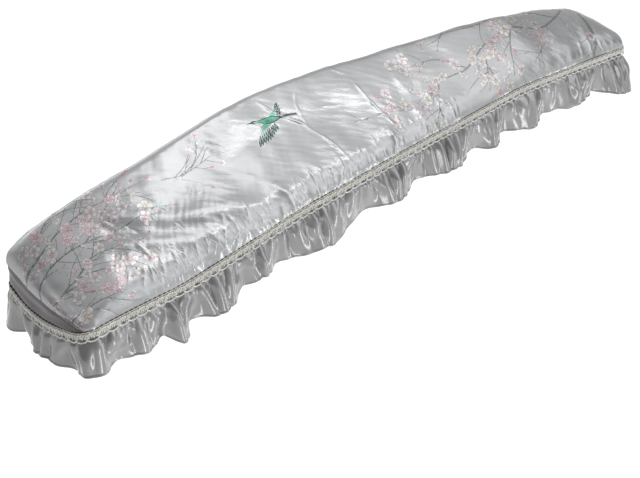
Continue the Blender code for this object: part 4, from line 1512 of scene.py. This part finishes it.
def floor_material():
    """A pale floor that glows, less and less far from the cover, so that the satin mirrors a soft edge."""
    nodes = Nodes(bpy.data.materials.new("studio floor"))
    color = nodes.ramp(nodes.noise(1.3, 2.0), 0.3, 0.7, tone(246, 246, 246), tone(252, 252, 252))
    nodes.set(Base_Color=color, Roughness=0.9, Specular_IOR_Level=0.2, Emission_Color=(1.0, 1.0, 1.0))
    glow = 0.50
    for way, edge, low in FLOOR_EDGES:
        glow = nodes.times(nodes.lobe(way, edge, edge + 0.40, low, 1.0), glow)
    corner = [nodes.lobe(way, edge, edge + 1.2, 0.10, 1.0) for way, edge in FLOOR_CORNER]
    nodes.set(Emission_Strength=nodes.times(nodes.math("MAXIMUM", *corner), glow))
    return nodes.owner


# Studio: edges of the floor's glow, as way, where it starts and what is left beyond, and its far right corner
FLOOR_EDGES = (
    ((0.72, 0.69, 0.0), -0.80, 0.50),
    ((-0.54, 0.84, 0.0), -1.15, 0.50),
    ((0.88, -0.47, 0.0), -1.55, 0.05),
)
FLOOR_CORNER = (((-0.70, 0.70, 0.0), -3.0), ((-0.743, -0.669, 0.0), -0.5))
FLOOR_REACH, FLOOR_HEIGHT = 14, -0.9
# Softboxes: name, target, direction from it, distance, width, height, power.
SOFTBOXES = (
    ("key softbox", (-0.467, 0.0, 0.0), (0.342, 0.166, 0.925), 2.4, 0.60, 0.90, 2.0),
    ("glint strip", (-0.30, -0.05, 0.0), (0.40, -0.10, 0.90), 2.2, 0.10, 1.2, 1.8),
    ("left strip", (-0.5, -0.2, -0.2), (-0.40, -0.80, -0.50), 1.15, 0.16, 0.95, 1.5),
    ("middle strip", (0.0, -0.2, -0.2), (0.25, -0.85, -0.50), 1.10, 0.16, 0.95, 1.6),
    ("right strip", (0.6, -0.2, -0.2), (0.70, -0.65, -0.66), 1.05, 0.16, 0.50, 0.60),
    ("back softbox", (0.0, 0.2, 0.0), (-0.10, 0.90, 0.45), 3.0, 2.6, 1.2, 6),
)
# The camera as fitted to the photograph: focal length in its pixels, its width, place and directions.
FOCAL_PIXELS, PHOTO_WIDTH, SENSOR_WIDTH = 1013.17, 640, 36.0
CAMERA_PLACE = (-1.4186, -1.5011, 0.9749)
CAMERA_RIGHT, CAMERA_UP = (0.7302, -0.6802, -0.0646), (0.4196, 0.3718, 0.8280)
CAMERA_FORWARD = (0.5392, 0.6317, -0.5569)


def add_object(name, data):
    thing = bpy.data.objects.new(name, data)
    bpy.context.collection.objects.link(thing)
    return thing


def add_softbox(name, target, direction, distance, width, height, power):
    data = bpy.data.lights.new(name, "AREA")
    data.shape = "RECTANGLE"
    data.size, data.size_y, data.energy = width, height, power
    light = add_object(name, data)
    direction = Vector(direction).normalized()
    light.location = Vector(target) + direction * distance
    light.rotation_euler = direction.to_track_quat("Z", "Y").to_euler()


def add_camera():
    data = bpy.data.cameras.new("camera")
    data.sensor_width = SENSOR_WIDTH
    data.lens = FOCAL_PIXELS / PHOTO_WIDTH * SENSOR_WIDTH
    camera = add_object("camera", data)
    turn = Matrix((CAMERA_RIGHT, CAMERA_UP, -Vector(CAMERA_FORWARD))).transposed()
    camera.matrix_world = Matrix.Translation(CAMERA_PLACE) @ turn.to_4x4()
    bpy.context.scene.camera = camera


AMBIENT = 0.44
# Soft lobes of the studio's light: direction, how wide (cosine where it ends), brightness.
LOBES = (
    ((0.50, 0.05, 0.86), 0.87, 0.51),
    ((0.42, -0.42, 0.80), 0.88, 0.38),
    ((0.68, -0.45, 0.58), 0.93, 0.18),
    ((0.55, -0.66, 0.50), 0.80, 0.68),
    ((0.45, -0.87, -0.05), 0.80, 0.50),
    ((0.10, 0.90, 0.42), 0.70, 0.45),
    ((0.32, -0.05, 0.95), 0.965, 0.35),
    ((0.09, -0.26, 0.96), 0.960, -0.15),
    ((-0.95, -0.10, 0.25), 0.45, -0.26),
    ((0.82, -0.56, 0.08), 0.93, -0.29),
    ((0.87, -0.42, 0.24), 0.93, -0.14),
    ((0.93, 0.10, 0.35), 0.93, -0.08),
    ((0.03, 0.24, 0.97), 0.975, 0.16),
)


def add_world():
    nodes = Nodes(bpy.data.worlds.new("studio"), "Background", "Generated")
    total = AMBIENT
    for direction, edge, bright in LOBES:
        total = nodes.plus(nodes.lobe(Vector(direction).normalized(), edge, 1.0, 0.0, bright), total)
    nodes.set(Strength=total, Color=(0.995, 0.998, 1.0))
    bpy.context.scene.world = nodes.owner


def add_studio():
    mesh = bpy.data.meshes.new("studio_floor")
    far, low = FLOOR_REACH, FLOOR_HEIGHT
    corners = [(-far, -far, low), (far, -far, low), (far, far, low), (-far, far, low)]
    mesh.from_pydata(corners, [], [(0, 1, 2, 3)])
    mesh.materials.append(floor_material())
    floor = add_object("studio_floor", mesh)
    for softbox in SOFTBOXES:
        add_softbox(*softbox)


def build():
    satin = satin_material("printed satin", tone(197, 198, 199), tone(184, 186, 187), 0.14, printed=True)
    panel = make_top_panel(satin)
    band = make_tail_band(satin_material("band satin", tone(104, 98, 98), tone(90, 85, 86), 0.20))
    lace = make_lace((
        lace_material("lace yarn", tone(246, 244, 236), tone(255, 254, 250)),
        # Its dim tones are painted shade in the lace's holes.
        lace_material("lace ground painted shade", tone(158, 153, 143), tone(186, 181, 170)),
        lace_material("stitch thread", tone(70, 66, 62), tone(96, 90, 84)),
    ))
    # The frill is the panel's satin in darker tones: painted shade for the dimmer light it gets.
    ruffle = make_ruffle(satin_material("frill satin painted shade", tone(176, 176, 177), tone(158, 158, 159), 0.15))
    for piece, node, slot in ((panel, "top_panel", "satin"), (band, "tail_band", "plain_satin"),
                              (lace, "lace_trim", "lace"), (ruffle, "ruffle", "ruffle_satin")):
        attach(piece, "root")
        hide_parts(node)
    add_world()
    add_studio()
    add_camera()
    bpy.context.scene.view_settings.view_transform = "Standard"


build()
